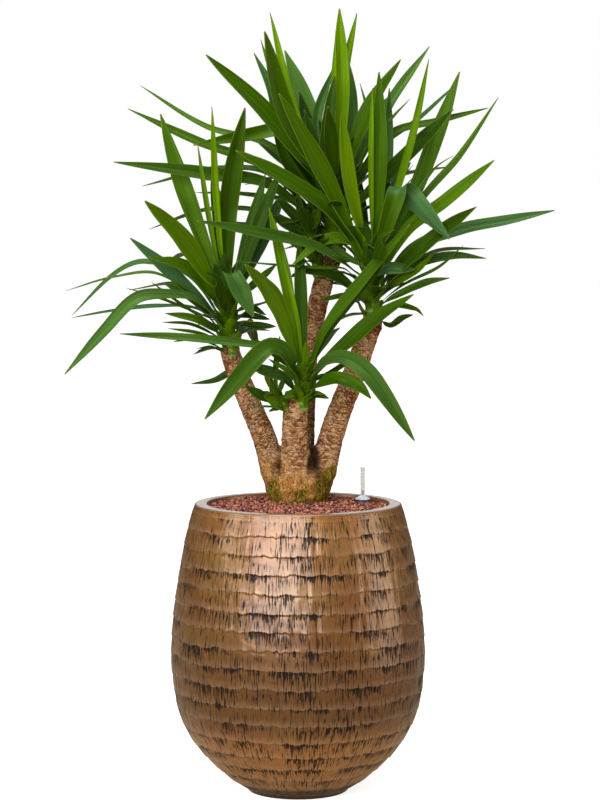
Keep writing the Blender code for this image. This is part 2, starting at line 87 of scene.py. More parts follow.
def add_node(tree, kind, sockets=None, stops=None, **settings):
    """Adds a node with its settings and links. Places 1 to 4 of MapRange are its two ranges, and
    2 and 3, or 6 and 7 for colours, are what Mix mixes."""
    made = tree.nodes.new("ShaderNode" + kind)
    for name, value in settings.items():
        setattr(made, name, value)
    fill_sockets(tree, made, sockets or {})
    if stops:
        ramp = made.color_ramp
        while len(ramp.elements) < len(stops):
            ramp.elements.new(0.5)
        for element, (place, colour) in zip(ramp.elements, stops):
            element.position = place
            element.color = colour
    return made


def new_material(name):
    """An empty node tree with its shader, ready for a finish."""
    made = bpy.data.materials.new(name)
    made.use_nodes = True
    return made, made.node_tree, made.node_tree.nodes["Principled BSDF"]


def grey(value):
    """An opaque linear grey for a colour ramp."""
    return (value, value, value, 1.0)


def bronze_lacquer():
    """Cast polyester resin, chiselled by hand, sprayed with bronze metallic lacquer, then rubbed with
    black patina: warm metal with a broad soft highlight, dark strokes under each chiselled lip, and
    lips worn back to brighter metal, with a painted highlight along them."""
    made, tree, shader = new_material("cast_resin_bronze_lacquer")
    wall = add_node(tree, "Attribute", attribute_name="wall_place").outputs["Vector"]
    down_wall = add_node(tree, "SeparateXYZ", {0: wall}).outputs[2]
    band = add_node(tree, "Attribute", attribute_name="band").outputs["Fac"]
    chiselled = add_node(tree, "Math", {0: band, 1: 0.0}, operation="GREATER_THAN").outputs[0]
    # chisel strokes are about 4 mm wide and 45 mm long, with finer ones of 2 mm by 24 mm among them
    stroke_space = add_node(tree, "VectorMath", {0: wall, 1: (230, 230, 22)}, operation="MULTIPLY").outputs[0]
    stroke = add_node(tree, "TexNoise", {"Vector": stroke_space, "Scale": 1.0, "Detail": 2.0,
                                         "Roughness": 0.6}).outputs["Fac"]
    hair_space = add_node(tree, "VectorMath", {0: wall, 1: (520, 520, 42)}, operation="MULTIPLY").outputs[0]
    hair = add_node(tree, "TexNoise", {"Vector": hair_space, "Scale": 1.0, "Detail": 1.0}).outputs["Fac"]
    # the strokes fray each lip by up to 4 mm
    frayed = add_node(tree, "MapRange", {"Value": hair, 1: 0.25, 2: 0.75, 3: 0.0, 4: 0.11}).outputs[0]
    down_band = add_node(tree, "Math", {0: band, 1: frayed}, operation="ADD").outputs[0]
    down_band = add_node(tree, "Math", {0: down_band}, operation="FRACT").outputs[0]
    # patina lies in patches about 70 mm wide and 40 mm high, most of it right under a lip
    patch_space = add_node(tree, "VectorMath", {0: wall, 1: (14, 14, 26)}, operation="MULTIPLY").outputs[0]
    patch = add_node(tree, "TexNoise", {"Vector": patch_space, "Scale": 1.0, "Detail": 2.0}).outputs["Fac"]
    patchy = add_node(tree, "MapRange", {"Value": patch, 1: 0.42, 2: 0.58, 3: 0.0, 4: 1.0}).outputs[0]
    under_lip = add_node(tree, "ValToRGB", {"Fac": down_band},
                         stops=((0.0, grey(1.0)), (0.14, grey(0.9)), (0.34, grey(0.6)),
                                (0.6, grey(0.3)), (1.0, grey(0.06)))).outputs[0]
    amount = add_node(tree, "Math", {0: patchy, 1: under_lip}, operation="MULTIPLY").outputs[0]
    # a little of it runs along every lip
    line = add_node(tree, "MapRange", {"Value": down_band, 1: 0.02, 2: 0.16, 3: 0.2, 4: 0.0}).outputs[0]
    amount = add_node(tree, "Math", {0: amount, 1: line}, operation="MAXIMUM").outputs[0]
    # the first band starts clean under the rim
    below_rim = add_node(tree, "MapRange", {"Value": band, 1: 1.0, 2: 1.5, 3: -0.4, 4: 0.0}).outputs[0]
    amount = add_node(tree, "Math", {0: amount, 1: below_rim}, operation="ADD").outputs[0]
    pushed = add_node(tree, "Mix", {0: 0.35, 2: hair, 3: stroke}, data_type="FLOAT").outputs[0]
    pushed = add_node(tree, "Math", {0: amount, 1: 0.17, 2: pushed}, operation="MULTIPLY_ADD").outputs[0]
    patina = add_node(tree, "MapRange", {"Value": pushed, 1: 0.59, 2: 0.617, 4: 0.95}).outputs[0]
    patina = add_node(tree, "Math", {0: patina, 1: chiselled}, operation="MULTIPLY").outputs[0]
    # the lacquer runs from olive tan to red brown in clouds of about 120 mm
    cloud_space = add_node(tree, "VectorMath", {0: wall, 1: (8, 8, 10)}, operation="MULTIPLY").outputs[0]
    cloud = add_node(tree, "TexNoise", {"Vector": cloud_space, "Scale": 1.0, "Detail": 3.0}).outputs["Fac"]
    bronze = add_node(tree, "ValToRGB", {"Fac": cloud},
                      stops=((0.34, linear("#965E2A")), (0.5, linear("#9C682E")),
                             (0.66, linear("#A27438")))).outputs[0]
    # redder below the first 200 mm, and more olive from 440 mm down to the foot
    redder = add_node(tree, "MapRange", {"Value": down_wall, 1: 0.20, 2: 0.34, 3: 0.0, 4: 0.4}).outputs[0]
    bronze = add_node(tree, "Mix", {0: redder, 6: bronze, 7: linear("#8C5C2A")}, data_type="RGBA").outputs[2]
    olive = add_node(tree, "MapRange", {"Value": down_wall, 1: 0.44, 2: 0.6, 3: 0.0, 4: 0.55}).outputs[0]
    bronze = add_node(tree, "Mix", {0: olive, 6: bronze, 7: linear("#8F6C3C")}, data_type="RGBA").outputs[2]
    # painted shade deepening to a belt 350 to 430 mm down the wall, and painted floor reflection brighter
    # towards the foot
    share_down = add_node(tree, "MapRange", {"Value": down_wall, 1: 0.0, 2: 0.65}).outputs[0]
    painted_light_down_wall = add_node(tree, "ValToRGB", {"Fac": share_down},
                    stops=((0.0, grey(0.78)), (0.12, grey(0.68)), (0.24, grey(0.62)),
                           (0.34, grey(0.54)), (0.54, grey(0.39)), (0.66, grey(0.37)),
                           (0.76, grey(0.74)), (1.0, grey(1.0)))).outputs[0]
    painted_light_down_wall = add_node(tree, "VectorMath", {0: painted_light_down_wall, 1: (1.28, 1.28, 1.28)}, operation="MULTIPLY").outputs[0]
    # painted shadow: the last 50 mm of the 670 mm down the wall turn under, and are darkened to a dark brown
    painted_foot_shadow = add_node(tree, "MapRange", {"Value": down_wall, 1: 0.615, 2: 0.64, 3: 1.0,
                                               4: 0.2}).outputs[0]
    painted_light_down_wall = add_node(tree, "VectorMath", {0: painted_light_down_wall, 1: painted_foot_shadow}, operation="MULTIPLY").outputs[0]
    bronze = add_node(tree, "VectorMath", {0: bronze, 1: painted_light_down_wall}, operation="MULTIPLY").outputs[0]
    # each lip is paler towards its edge: worn lacquer, with a painted highlight where the lip catches the
    # light
    worn_lip_and_highlight = add_node(tree, "MapRange", {"Value": down_band, 1: 0.6, 2: 0.97, 3: 0.0, 4: 0.32}).outputs[0]
    worn_lip_and_highlight = add_node(tree, "Math", {0: worn_lip_and_highlight, 1: chiselled}, operation="MULTIPLY").outputs[0]
    worn_lip_and_highlight = add_node(tree, "Math", {0: worn_lip_and_highlight, 1: hair}, operation="MULTIPLY").outputs[0]
    bronze = add_node(tree, "Mix", {0: worn_lip_and_highlight, 6: bronze, 7: linear("#DCBC9C")}, data_type="RGBA").outputs[2]
    # painted light and shade on the chisel ridges: lighter ridges, and darker grooves between strokes where
    # the chisel cut deep
    ridge = add_node(tree, "Mix", {0: 0.3, 2: hair, 3: stroke}, data_type="FLOAT").outputs[0]
    painted_ridge_shading = add_node(tree, "MapRange", {"Value": ridge, 1: 0.38, 2: 0.62, 3: 1.2, 4: 0.60}).outputs[0]
    cut = add_node(tree, "MapRange", {"Value": patchy, 3: 0.35, 4: 1.0}).outputs[0]
    painted_ridge_shading = add_node(tree, "Mix", {0: cut, 2: 1.0, 3: painted_ridge_shading}, data_type="FLOAT").outputs[0]
    bronze = add_node(tree, "VectorMath", {0: bronze, 1: painted_ridge_shading}, operation="MULTIPLY").outputs[0]
    # painted reflection: the rim's flat top, facing up, is paled to a grey tan
    facing = add_node(tree, "NewGeometry").outputs["Normal"]
    level = add_node(tree, "SeparateXYZ", {0: facing}).outputs[2]
    painted_rim_reflection = add_node(tree, "MapRange", {"Value": level, 1: 0.75, 2: 0.95, 3: 0.0, 4: 0.75}).outputs[0]
    bronze = add_node(tree, "Mix", {0: painted_rim_reflection, 6: bronze, 7: linear("#A89C90")}, data_type="RGBA").outputs[2]
    coloured = add_node(tree, "Mix", {0: patina, 6: bronze, 7: linear("#1A1412")},
                        data_type="RGBA").outputs[2]
    relief = add_node(tree, "Math", {0: hair, 1: 0.45, 2: stroke}, operation="MULTIPLY_ADD").outputs[0]
    relief = add_node(tree, "Math", {0: relief, 1: cut}, operation="MULTIPLY").outputs[0]
    relief = add_node(tree, "Math", {0: relief, 1: chiselled}, operation="MULTIPLY").outputs[0]
    # the patina has no clear coat, and the coat has gone dull towards the foot
    coat = add_node(tree, "MapRange", {"Value": patina, 3: 1.0, 4: 0.0}).outputs[0]
    dulled = add_node(tree, "MapRange", {"Value": down_wall, 1: 0.18, 2: 0.34, 3: 1.0, 4: 0.45}).outputs[0]
    coat = add_node(tree, "Math", {0: coat, 1: dulled}, operation="MULTIPLY").outputs[0]
    # the painted foot shadow also takes the coat off the foot
    coat = add_node(tree, "Math", {0: coat, 1: painted_foot_shadow}, operation="MULTIPLY").outputs[0]
    fill_sockets(tree, shader, {
        "Base Color": coloured,
        "Roughness": add_node(tree, "MapRange", {"Value": patina, 3: 0.33, 4: 0.5}).outputs[0],
        "Metallic": add_node(tree, "MapRange", {"Value": patina, 3: 0.38, 4: 0.1}).outputs[0],
        "Normal": add_node(tree, "Bump", {"Height": relief, "Strength": 1.0, "Distance": 2.4 * MM},
                           invert=True).outputs[0],
        "Coat Weight": coat, "Coat Roughness": 0.27, "Coat IOR": 1.72, "Specular IOR Level": 0.18})
    return made


def expanded_clay(name, tint_from_grain):
    """Fired expanded clay: dull red brown grains, some nearly black, with a pitted skin."""
    made, tree, shader = new_material(name)
    place = add_node(tree, "TexCoord").outputs["Object"]
    # pits of about 1.5 mm
    pits = add_node(tree, "TexNoise", {"Vector": place, "Scale": 650.0, "Detail": 3.0}).outputs["Fac"]
    if tint_from_grain:
        tint = add_node(tree, "Attribute", attribute_name="grain_tint").outputs["Fac"]
    else:
        tint = add_node(tree, "TexNoise", {"Vector": place, "Scale": 140.0}).outputs["Fac"]
        tint = add_node(tree, "Math", {0: tint, 1: 0.35}, operation="MULTIPLY").outputs[0]
    colour = add_node(tree, "ValToRGB", {"Fac": tint},
                      stops=((0.0, linear("#3A262C")), (0.2, linear("#6E3E3A")), (0.5, linear("#A86250")),
                             (0.82, linear("#C87C62")), (1.0, linear("#DC9C82")))).outputs[0]
    speckle = add_node(tree, "MapRange", {"Value": pits, 1: 0.3, 2: 0.7, 3: 0.72, 4: 1.15}).outputs[0]
    colour = add_node(tree, "VectorMath", {0: colour, 1: speckle}, operation="MULTIPLY").outputs[0]
    if tint_from_grain:
        # painted light and shade on each grain: pale on top, as if lit from above, and dark below
        upper = add_node(tree, "Attribute", attribute_name="grain_top").outputs["Fac"]
        painted_grain_shading = add_node(tree, "MapRange", {"Value": upper, 1: 0.3, 2: 0.85, 3: 0.22, 4: 1.2}).outputs[0]
        colour = add_node(tree, "VectorMath", {0: colour, 1: painted_grain_shading}, operation="MULTIPLY").outputs[0]
    else:
        # painted shade: the bed under the loose grains is darkened to 60 percent, as shade between the grains
        colour = add_node(tree, "VectorMath", {0: colour, 1: (0.6, 0.6, 0.6)},
                          operation="MULTIPLY").outputs[0]
    bump = add_node(tree, "Bump", {"Height": pits, "Strength": 0.5, "Distance": 0.8 * MM}).outputs[0]
    fill_sockets(tree, shader, {"Base Color": colour, "Normal": bump, "Roughness": 0.7,
                                "Specular IOR Level": 0.3})
    return made


def yucca_bark():
    """Dry corky bark: plates left by fallen leaves, 13 mm wide and 7 mm high, in warm tan with soft
    brown cracks, pale rims that are dry bark with a painted highlight, golden root fibre low on the
    stump, and yellow green moss."""
    made, tree, shader = new_material("yucca_bark")
    place = add_node(tree, "TexCoord").outputs["Object"]
    cane = add_node(tree, "Attribute", attribute_name="cane_place").outputs["Vector"]
    moss = add_node(tree, "Attribute", attribute_name="moss").outputs["Fac"]
    root = add_node(tree, "Attribute", attribute_name="root").outputs["Fac"]
    shade = add_node(tree, "Attribute", attribute_name="painted_shade").outputs["Fac"]
    # cork grain of about 2 mm, in blotches of about 30 mm
    grain = add_node(tree, "TexNoise", {"Vector": place, "Scale": 420.0, "Detail": 4.0,
                                        "Roughness": 0.65}).outputs["Fac"]
    blotch = add_node(tree, "TexNoise", {"Vector": place, "Scale": 30.0, "Detail": 2.0}).outputs["Fac"]
    # plates, their outlines wavering by 4 mm
    uneven = add_node(tree, "TexNoise", {"Vector": place, "Scale": 85.0, "Detail": 3.0})
    waver = add_node(tree, "VectorMath", {0: uneven.outputs["Color"], 1: (15 * MM,) * 3},
                     operation="MULTIPLY").outputs[0]
    plates = add_node(tree, "VectorMath", {0: cane, 1: waver}, operation="ADD").outputs[0]
    plates = add_node(tree, "VectorMath", {0: plates, 1: (76, 76, 148)}, operation="MULTIPLY").outputs[0]
    inward = add_node(tree, "TexVoronoi", {"Vector": plates, "Scale": 1.0},
                      feature="DISTANCE_TO_EDGE").outputs["Distance"]
    cell = add_node(tree, "TexVoronoi", {"Vector": plates, "Scale": 1.0}, feature="F1")
    own = add_node(tree, "SeparateXYZ", {0: cell.outputs["Color"]}).outputs[0]
    # painted light and shade on each plate, which laps over the one below it: pale towards its top, dark
    # under its lower edge
    within = add_node(tree, "VectorMath", {0: plates, 1: cell.outputs["Position"]},
                      operation="SUBTRACT").outputs[0]
    within = add_node(tree, "SeparateXYZ", {0: within}).outputs[2]
    upper = add_node(tree, "MapRange", {"Value": within, 1: -0.45, 2: 0.4}).outputs[0]
    # flakes 8 mm wide and 3 mm high
    flake_space = add_node(tree, "VectorMath", {0: cane, 1: (130, 130, 330)}, operation="MULTIPLY").outputs[0]
    flake = add_node(tree, "TexNoise", {"Vector": flake_space, "Scale": 1.0, "Detail": 3.0,
                                        "Distortion": 0.8}).outputs["Fac"]
    tone = add_node(tree, "Math", {0: own, 1: 0.18, 2: blotch}, operation="MULTIPLY_ADD").outputs[0]
    tone = add_node(tree, "Math", {0: flake, 1: 0.8, 2: tone}, operation="MULTIPLY_ADD").outputs[0]
    tone = add_node(tree, "Math", {0: upper, 1: 0.24, 2: tone}, operation="MULTIPLY_ADD").outputs[0]
    cork = add_node(tree, "ValToRGB", {"Fac": tone},
                    stops=((0.74, linear("#5E3016")), (0.91, linear("#A26236")),
                           (1.0, linear("#C4844E")))).outputs[0]
    # the driest flakes are pale, and so are the painted lit tops of the plates, as a painted highlight
    dry_and_lit_flake = add_node(tree, "MapRange", {"Value": tone, 1: 1.02, 2: 1.16, 3: 0.0, 4: 0.9}).outputs[0]
    cork = add_node(tree, "Mix", {0: dry_and_lit_flake, 6: cork, 7: linear("#FACC9C")}, data_type="RGBA").outputs[2]
    # plates are pale just inside their rims, dry bark with a painted highlight on each raised rim, and dark
    # in the cracks between them
    rim = add_node(tree, "ValToRGB", {"Fac": inward},
                   stops=((0.06, grey(0.0)), (0.14, grey(0.16)), (0.26, grey(0.0)))).outputs[0]
    cork = add_node(tree, "Mix", {0: rim, 6: cork, 7: linear("#DCB084")}, data_type="RGBA").outputs[2]
    crack = add_node(tree, "Math", {0: grain, 1: -0.12, 2: inward}, operation="MULTIPLY_ADD").outputs[0]
    whole = add_node(tree, "MapRange", {"Value": crack, 1: -0.06, 2: 0.10, 3: 0.08, 4: 1.0}).outputs[0]
    # half of the cracks have nearly closed
    closed = add_node(tree, "MapRange", {"Value": uneven.outputs["Fac"], 1: 0.44, 2: 0.56, 3: 0.0,
                                         4: 0.62}).outputs[0]
    whole = add_node(tree, "Mix", {0: closed, 2: whole, 3: 1.0}, data_type="FLOAT").outputs[0]
    cork = add_node(tree, "Mix", {0: whole, 6: linear("#42200C"), 7: cork}, data_type="RGBA").outputs[2]
    # root fibre: short tangled strands 6 mm thick
    strands = add_node(tree, "VectorMath", {0: place, 1: (165, 165, 105)}, operation="MULTIPLY").outputs[0]
    strand = add_node(tree, "TexNoise", {"Vector": strands, "Scale": 1.0, "Detail": 4.0,
                                         "Distortion": 1.5}).outputs["Fac"]
    fibre = add_node(tree, "ValToRGB", {"Fac": strand},
                     stops=((0.32, linear("#54320F")), (0.44, linear("#9C6A30")),
                            (0.56, linear("#C8924E")), (0.70, linear("#E8C486")))).outputs[0]
    bark = add_node(tree, "Mix", {0: root, 6: cork, 7: fibre}, data_type="RGBA").outputs[2]
    # moss, thickest between the strands at its edge
    green = add_node(tree, "ValToRGB", {"Fac": strand},
                     stops=((0.34, linear("#1C1602")), (0.5, linear("#645A0C")),
                            (0.66, linear("#A69A22")))).outputs[0]
    moss_edge = add_node(tree, "Math", {0: strand, 1: 1.1, 2: moss}, operation="MULTIPLY_ADD").outputs[0]
    moss_edge = add_node(tree, "MapRange", {"Value": moss_edge, 1: 0.95, 2: 1.25, 3: 0.0, 4: 0.8}).outputs[0]
    bark = add_node(tree, "Mix", {0: moss_edge, 6: bark, 7: green}, data_type="RGBA").outputs[2]
    # painted shade: the seams, the webs between canes and the rear cane are darkened towards a dark brown
    bark = add_node(tree, "Mix", {0: shade, 6: bark, 7: linear("#301808")}, data_type="RGBA").outputs[2]
    rise = add_node(tree, "MapRange", {"Value": inward, 1: 0.0, 2: 0.22, 4: 0.5}).outputs[0]
    rise = add_node(tree, "Math", {0: flake, 1: 2.2, 2: rise}, operation="MULTIPLY_ADD").outputs[0]
    rise = add_node(tree, "Math", {0: grain, 1: 0.4, 2: rise}, operation="MULTIPLY_ADD").outputs[0]
    relief = add_node(tree, "Mix", {0: root, 2: rise, 3: strand}, data_type="FLOAT").outputs[0]
    bump = add_node(tree, "Bump", {"Height": relief, "Strength": 1.0, "Distance": 4.2 * MM}).outputs[0]
    fill_sockets(tree, shader, {"Base Color": bark, "Normal": bump, "Roughness": 0.9,
                                "Specular IOR Level": 0.1})
    return made


def living_leaf(name, dark, mid, bright, waxy, roughness):
    """Yucca leaf, a waxy cuticle over long parallel veins: deep green that turns yellow green in
    young blades, blue green where the wax bloom is thick, with a pale thin margin."""
    made, tree, shader = new_material(name)
    blade = add_node(tree, "UVMap", uv_map="UVMap").outputs[0]
    youth = add_node(tree, "Attribute", attribute_name="youth").outputs["Fac"]
    bloom = add_node(tree, "Attribute", attribute_name="bloom").outputs["Fac"]
    lot = add_node(tree, "Attribute", attribute_name="lot").outputs["Fac"]
    broad = add_node(tree, "Attribute", attribute_name="broad").outputs["Fac"]
    sideways, along = add_node(tree, "SeparateXYZ", {0: blade}).outputs[:2]
    from_middle = add_node(tree, "Math", {0: sideways, 1: -0.5}, operation="ADD").outputs[0]
    across = add_node(tree, "Math", {0: from_middle}, operation="ABSOLUTE").outputs[0]
    # place across the leaf in metres; real veins are 1 mm apart, these are drawn 5 mm and 2 mm apart
    aside = add_node(tree, "Math", {0: from_middle, 1: broad}, operation="MULTIPLY").outputs[0]
    skin = add_node(tree, "CombineXYZ", {0: aside, 1: along}).outputs[0]
    vein_space = add_node(tree, "VectorMath", {0: skin, 1: (200, 2.2, 0)}, operation="MULTIPLY").outputs[0]
    vein = add_node(tree, "TexNoise", {"Vector": vein_space, "W": lot, "Scale": 1.0, "Detail": 2.5},
                    noise_dimensions="4D").outputs["Fac"]
    fine_space = add_node(tree, "VectorMath", {0: skin, 1: (520, 2.5, 0)}, operation="MULTIPLY").outputs[0]
    fine = add_node(tree, "TexNoise", {"Vector": fine_space, "W": lot, "Scale": 1.0, "Detail": 1.0},
                    noise_dimensions="4D").outputs["Fac"]
    green = add_node(tree, "ValToRGB", {"Fac": youth},
                     stops=((0.0, linear(dark)), (0.5, linear(mid)), (1.0, linear(bright)))).outputs[0]
    wax = add_node(tree, "Math", {0: bloom, 1: 0.8}, operation="MULTIPLY").outputs[0]
    green = add_node(tree, "Mix", {0: wax, 6: green, 7: linear(waxy)}, data_type="RGBA").outputs[2]
    stripe = add_node(tree, "MapRange", {"Value": vein, 1: 0.3, 2: 0.7, 3: 0.72, 4: 1.3}).outputs[0]
    green = add_node(tree, "VectorMath", {0: green, 1: stripe}, operation="MULTIPLY").outputs[0]
    lines = add_node(tree, "MapRange", {"Value": fine, 1: 0.3, 2: 0.7, 3: 0.92, 4: 1.08}).outputs[0]
    green = add_node(tree, "VectorMath", {0: green, 1: lines}, operation="MULTIPLY").outputs[0]
    # yellow green at its foot, a pale margin, a dry tip
    foot = add_node(tree, "MapRange", {"Value": along, 1: 0.0, 2: 0.16, 3: 0.75, 4: 0.0}).outputs[0]
    green = add_node(tree, "Mix", {0: foot, 6: green, 7: linear("#5E8A14")}, data_type="RGBA").outputs[2]
    margin = add_node(tree, "MapRange", {"Value": across, 1: 0.455, 2: 0.495, 3: 0.0, 4: 0.4}).outputs[0]
    green = add_node(tree, "Mix", {0: margin, 6: green, 7: linear("#6E8C2C")}, data_type="RGBA").outputs[2]
    tip = add_node(tree, "MapRange", {"Value": along, 1: 0.985, 2: 0.998}).outputs[0]
    green = add_node(tree, "Mix", {0: tip, 6: green, 7: linear("#6E7030")}, data_type="RGBA").outputs[2]
    bump = add_node(tree, "Bump", {"Height": vein, "Strength": 0.4, "Distance": 1.2 * MM}).outputs[0]
    fill_sockets(tree, shader, {"Base Color": green, "Normal": bump, "Roughness": roughness,
                                "Specular IOR Level": 0.16, "Specular Tint": linear("#C8FF80")})
    return made


def green_stem():
    """Young yucca stem: smooth yellow green skin ringed by old leaf bases."""
    made, tree, shader = new_material("yucca_green_stem")
    place = add_node(tree, "TexCoord").outputs["Object"]
    # a ring every 6 mm
    rings = add_node(tree, "TexWave", {"Vector": place, "Scale": 26.0, "Distortion": 3.0,
                                       "Detail": 2.0}, bands_direction="Z").outputs["Fac"]
    colour = add_node(tree, "ValToRGB", {"Fac": rings},
                      stops=((0.0, linear("#4E7412")), (0.5, linear("#6A9218")),
                             (1.0, linear("#86A838")))).outputs[0]
    bump = add_node(tree, "Bump", {"Height": rings, "Strength": 0.6, "Distance": 1.0 * MM}).outputs[0]
    fill_sockets(tree, shader, {"Base Color": colour, "Normal": bump, "Roughness": 0.5})
    return made


def root_mass():
    """Matted roots: brown fibre with paler threads."""
    made, tree, shader = new_material("matted_root_fibre")
    place = add_node(tree, "TexCoord").outputs["Object"]
    # threads 2 to 3 mm thick that run down
    space = add_node(tree, "VectorMath", {0: place, 1: (380, 380, 60)}, operation="MULTIPLY").outputs[0]
    thread = add_node(tree, "TexNoise", {"Vector": space, "Scale": 1.0, "Detail": 3.0,
                                         "Distortion": 1.2}).outputs["Fac"]
    colour = add_node(tree, "ValToRGB", {"Fac": thread},
                      stops=((0.3, linear("#2E2015")), (0.55, linear("#6B4C30")),
                             (0.75, linear("#B08E62")))).outputs[0]
    bump = add_node(tree, "Bump", {"Height": thread, "Strength": 0.9, "Distance": 2 * MM}).outputs[0]
    fill_sockets(tree, shader, {"Base Color": colour, "Normal": bump, "Roughness": 0.9})
    return made


def moulded_plastic(name, colour, roughness, ripple=0.15):
    """Injection moulded thermoplastic: even colour with a faint mould texture of 0.4 mm."""
    made, tree, shader = new_material(name)
    place = add_node(tree, "TexCoord").outputs["Object"]
    texture = add_node(tree, "TexNoise", {"Vector": place, "Scale": 2500.0, "Detail": 1.0}).outputs["Fac"]
    cloud = add_node(tree, "TexNoise", {"Vector": place, "Scale": 90.0}).outputs["Fac"]
    lighter = add_node(tree, "MapRange", {"Value": cloud, 1: 0.3, 2: 0.7, 3: 0.9, 4: 1.1}).outputs[0]
    shade = add_node(tree, "VectorMath", {0: linear(colour)[:3], 1: lighter}, operation="MULTIPLY").outputs[0]
    bump = add_node(tree, "Bump", {"Height": texture, "Strength": ripple, "Distance": 0.1 * MM}).outputs[0]
    fill_sockets(tree, shader, {"Base Color": shade, "Normal": bump, "Roughness": roughness})
    return made


def clear_acrylic():
    """Extruded acrylic tube: glossy, half clear, with a slight grey cast."""
    made = moulded_plastic("clear_acrylic", "#DDDCDC", 0.12, 0.05)
    fill_sockets(made.node_tree, made.node_tree.nodes["Principled BSDF"], {"Alpha": 0.32, "IOR": 1.49})
    return made


def drawn_steel_wire():
    """Drawn stainless wire: bright metal with drawing lines 0.25 mm apart along it."""
    made, tree, shader = new_material("drawn_steel_wire")
    place = add_node(tree, "TexCoord").outputs["Object"]
    space = add_node(tree, "VectorMath", {0: place, 1: (4000, 4000, 60)}, operation="MULTIPLY").outputs[0]
    line = add_node(tree, "TexNoise", {"Vector": space, "Scale": 1.0}).outputs["Fac"]
    rough = add_node(tree, "MapRange", {"Value": line, 3: 0.2, 4: 0.4}).outputs[0]
    fill_sockets(tree, shader, {"Base Color": linear("#C9CBCC"), "Metallic": 1.0, "Roughness": rough})
    return made


MATERIALS = {
    "bronze": bronze_lacquer(),
    "grains": expanded_clay("expanded_clay_grains", True),
    "bed": expanded_clay("expanded_clay_bed", False),
    "bark": yucca_bark(),
    "leaf_upper": living_leaf("yucca_leaf_cuticle", "#1C3204", "#385802", "#5F8400", "#3E643E", 0.36),
    "leaf_under": living_leaf("yucca_leaf_underside", "#263E0A", "#42621A", "#66841C", "#507856", 0.5),
    "stem": green_stem(),
    "roots": root_mass(),
    "grey_abs": moulded_plastic("moulded_grey_abs", "#3A3C46", 0.3),
    "white_abs": moulded_plastic("moulded_white_abs", "#E2E4EA", 0.25),
    "foam": moulded_plastic("closed_cell_foam", "#E2E1DB", 0.8, 0.4),
    "red": moulded_plastic("moulded_red_polystyrene", "#B0101C", 0.3),
    "ink": moulded_plastic("printed_yellow_ink", "#D9C24A", 0.5),
    "acrylic": clear_acrylic(),
    "wire": drawn_steel_wire(),
}


# ---------------------------------------------------------------- working with pieces

def only(obj):
    """Selects this object alone and makes it the active one."""
    bpy.ops.object.select_all(action="DESELECT")
    obj.select_set(True)
    bpy.context.view_layer.objects.active = obj


def place_piece(name, data):
    """A new object in the scene, at the origin."""
    obj = bpy.data.objects.new(name, data)
    bpy.context.scene.collection.objects.link(obj)
    return obj


def apply_modifier(obj, kind, **settings):
    """Gives the active object a modifier with these settings and applies it."""
    modifier = obj.modifiers.new(kind, kind)
    for name, value in settings.items():
        setattr(modifier, name, value)
    bpy.ops.object.modifier_apply(modifier=modifier.name)


def close_mesh():
    """In edit mode: merges what lies on one point, turns all faces outwards, and leaves the mode."""
    bpy.ops.mesh.select_all(action="SELECT")
    bpy.ops.mesh.remove_doubles(threshold=SAME_POINT)
    bpy.ops.mesh.normals_make_consistent(inside=False)
    bpy.ops.object.mode_set(mode="OBJECT")


def finish_piece(obj, name, materials, body="planter", stands_for=()):
    """Names a piece, gives it its materials, hides the CAD nodes it stands for, and hangs it on the
    empty of the body it rides on."""
    obj.name = name
    obj.data.name = name
    obj.data.materials.clear()
    for key in materials:
        obj.data.materials.append(MATERIALS[key])
    if stands_for:
        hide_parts(*stands_for)
    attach(obj, body)


def corners(obj):
    """The mesh's vertices as rows of x, y, z."""
    rows = np.empty(len(obj.data.vertices) * 3)
    obj.data.vertices.foreach_get("co", rows)
    return rows.reshape(-1, 3)


def move_corners(obj, rows):
    """Puts the mesh's vertices at these rows of x, y, z."""
    obj.data.vertices.foreach_set("co", np.ascontiguousarray(rows).ravel())
    obj.data.update()


def keep_number(obj, name, values):
    """Stores one number per vertex for the material to read."""
    kept = obj.data.attributes.new(name, "FLOAT", "POINT")
    kept.data.foreach_set("value", np.ascontiguousarray(values, dtype=np.float32))


def keep_place(obj, name, rows):
    """Stores three numbers per vertex for the material to read as a place."""
    kept = obj.data.attributes.new(name, "FLOAT_VECTOR", "POINT")
    kept.data.foreach_set("vector", np.ascontiguousarray(rows, dtype=np.float32).ravel())


def scatter(cells, salt=0.0):
    """A repeatable number from 0 to 1 for each row of whole numbers."""
    cells = np.asarray(cells, dtype=float)
    weights = np.array([127.1, 311.7, 74.7])[:cells.shape[-1]]
    wave = np.sin(cells @ weights + salt * 37.719) * 43758.5453
    return wave - np.floor(wave)


def cloudy(rows, salt=0.0):
    """Smooth noise from -1 to 1 at each row of three numbers, with features about one unit wide."""
    cell = np.floor(rows)
    share = rows - cell
    share = share * share * (3 - 2 * share)
    total = np.zeros(len(rows))
    for dx in (0, 1):
        for dy in (0, 1):
            for dz in (0, 1):
                weight = ((share[:, 0] if dx else 1 - share[:, 0])
                          * (share[:, 1] if dy else 1 - share[:, 1])
                          * (share[:, 2] if dz else 1 - share[:, 2]))
                total += weight * scatter(cell + (dx, dy, dz), salt)
    return total * 2 - 1


def smooth_step(low, high, values):
    """0 at low and 1 at high, with a soft start and end. High may lie below low."""
    share = np.clip((values - low) / (high - low), 0, 1)
    return share * share * (3 - 2 * share)


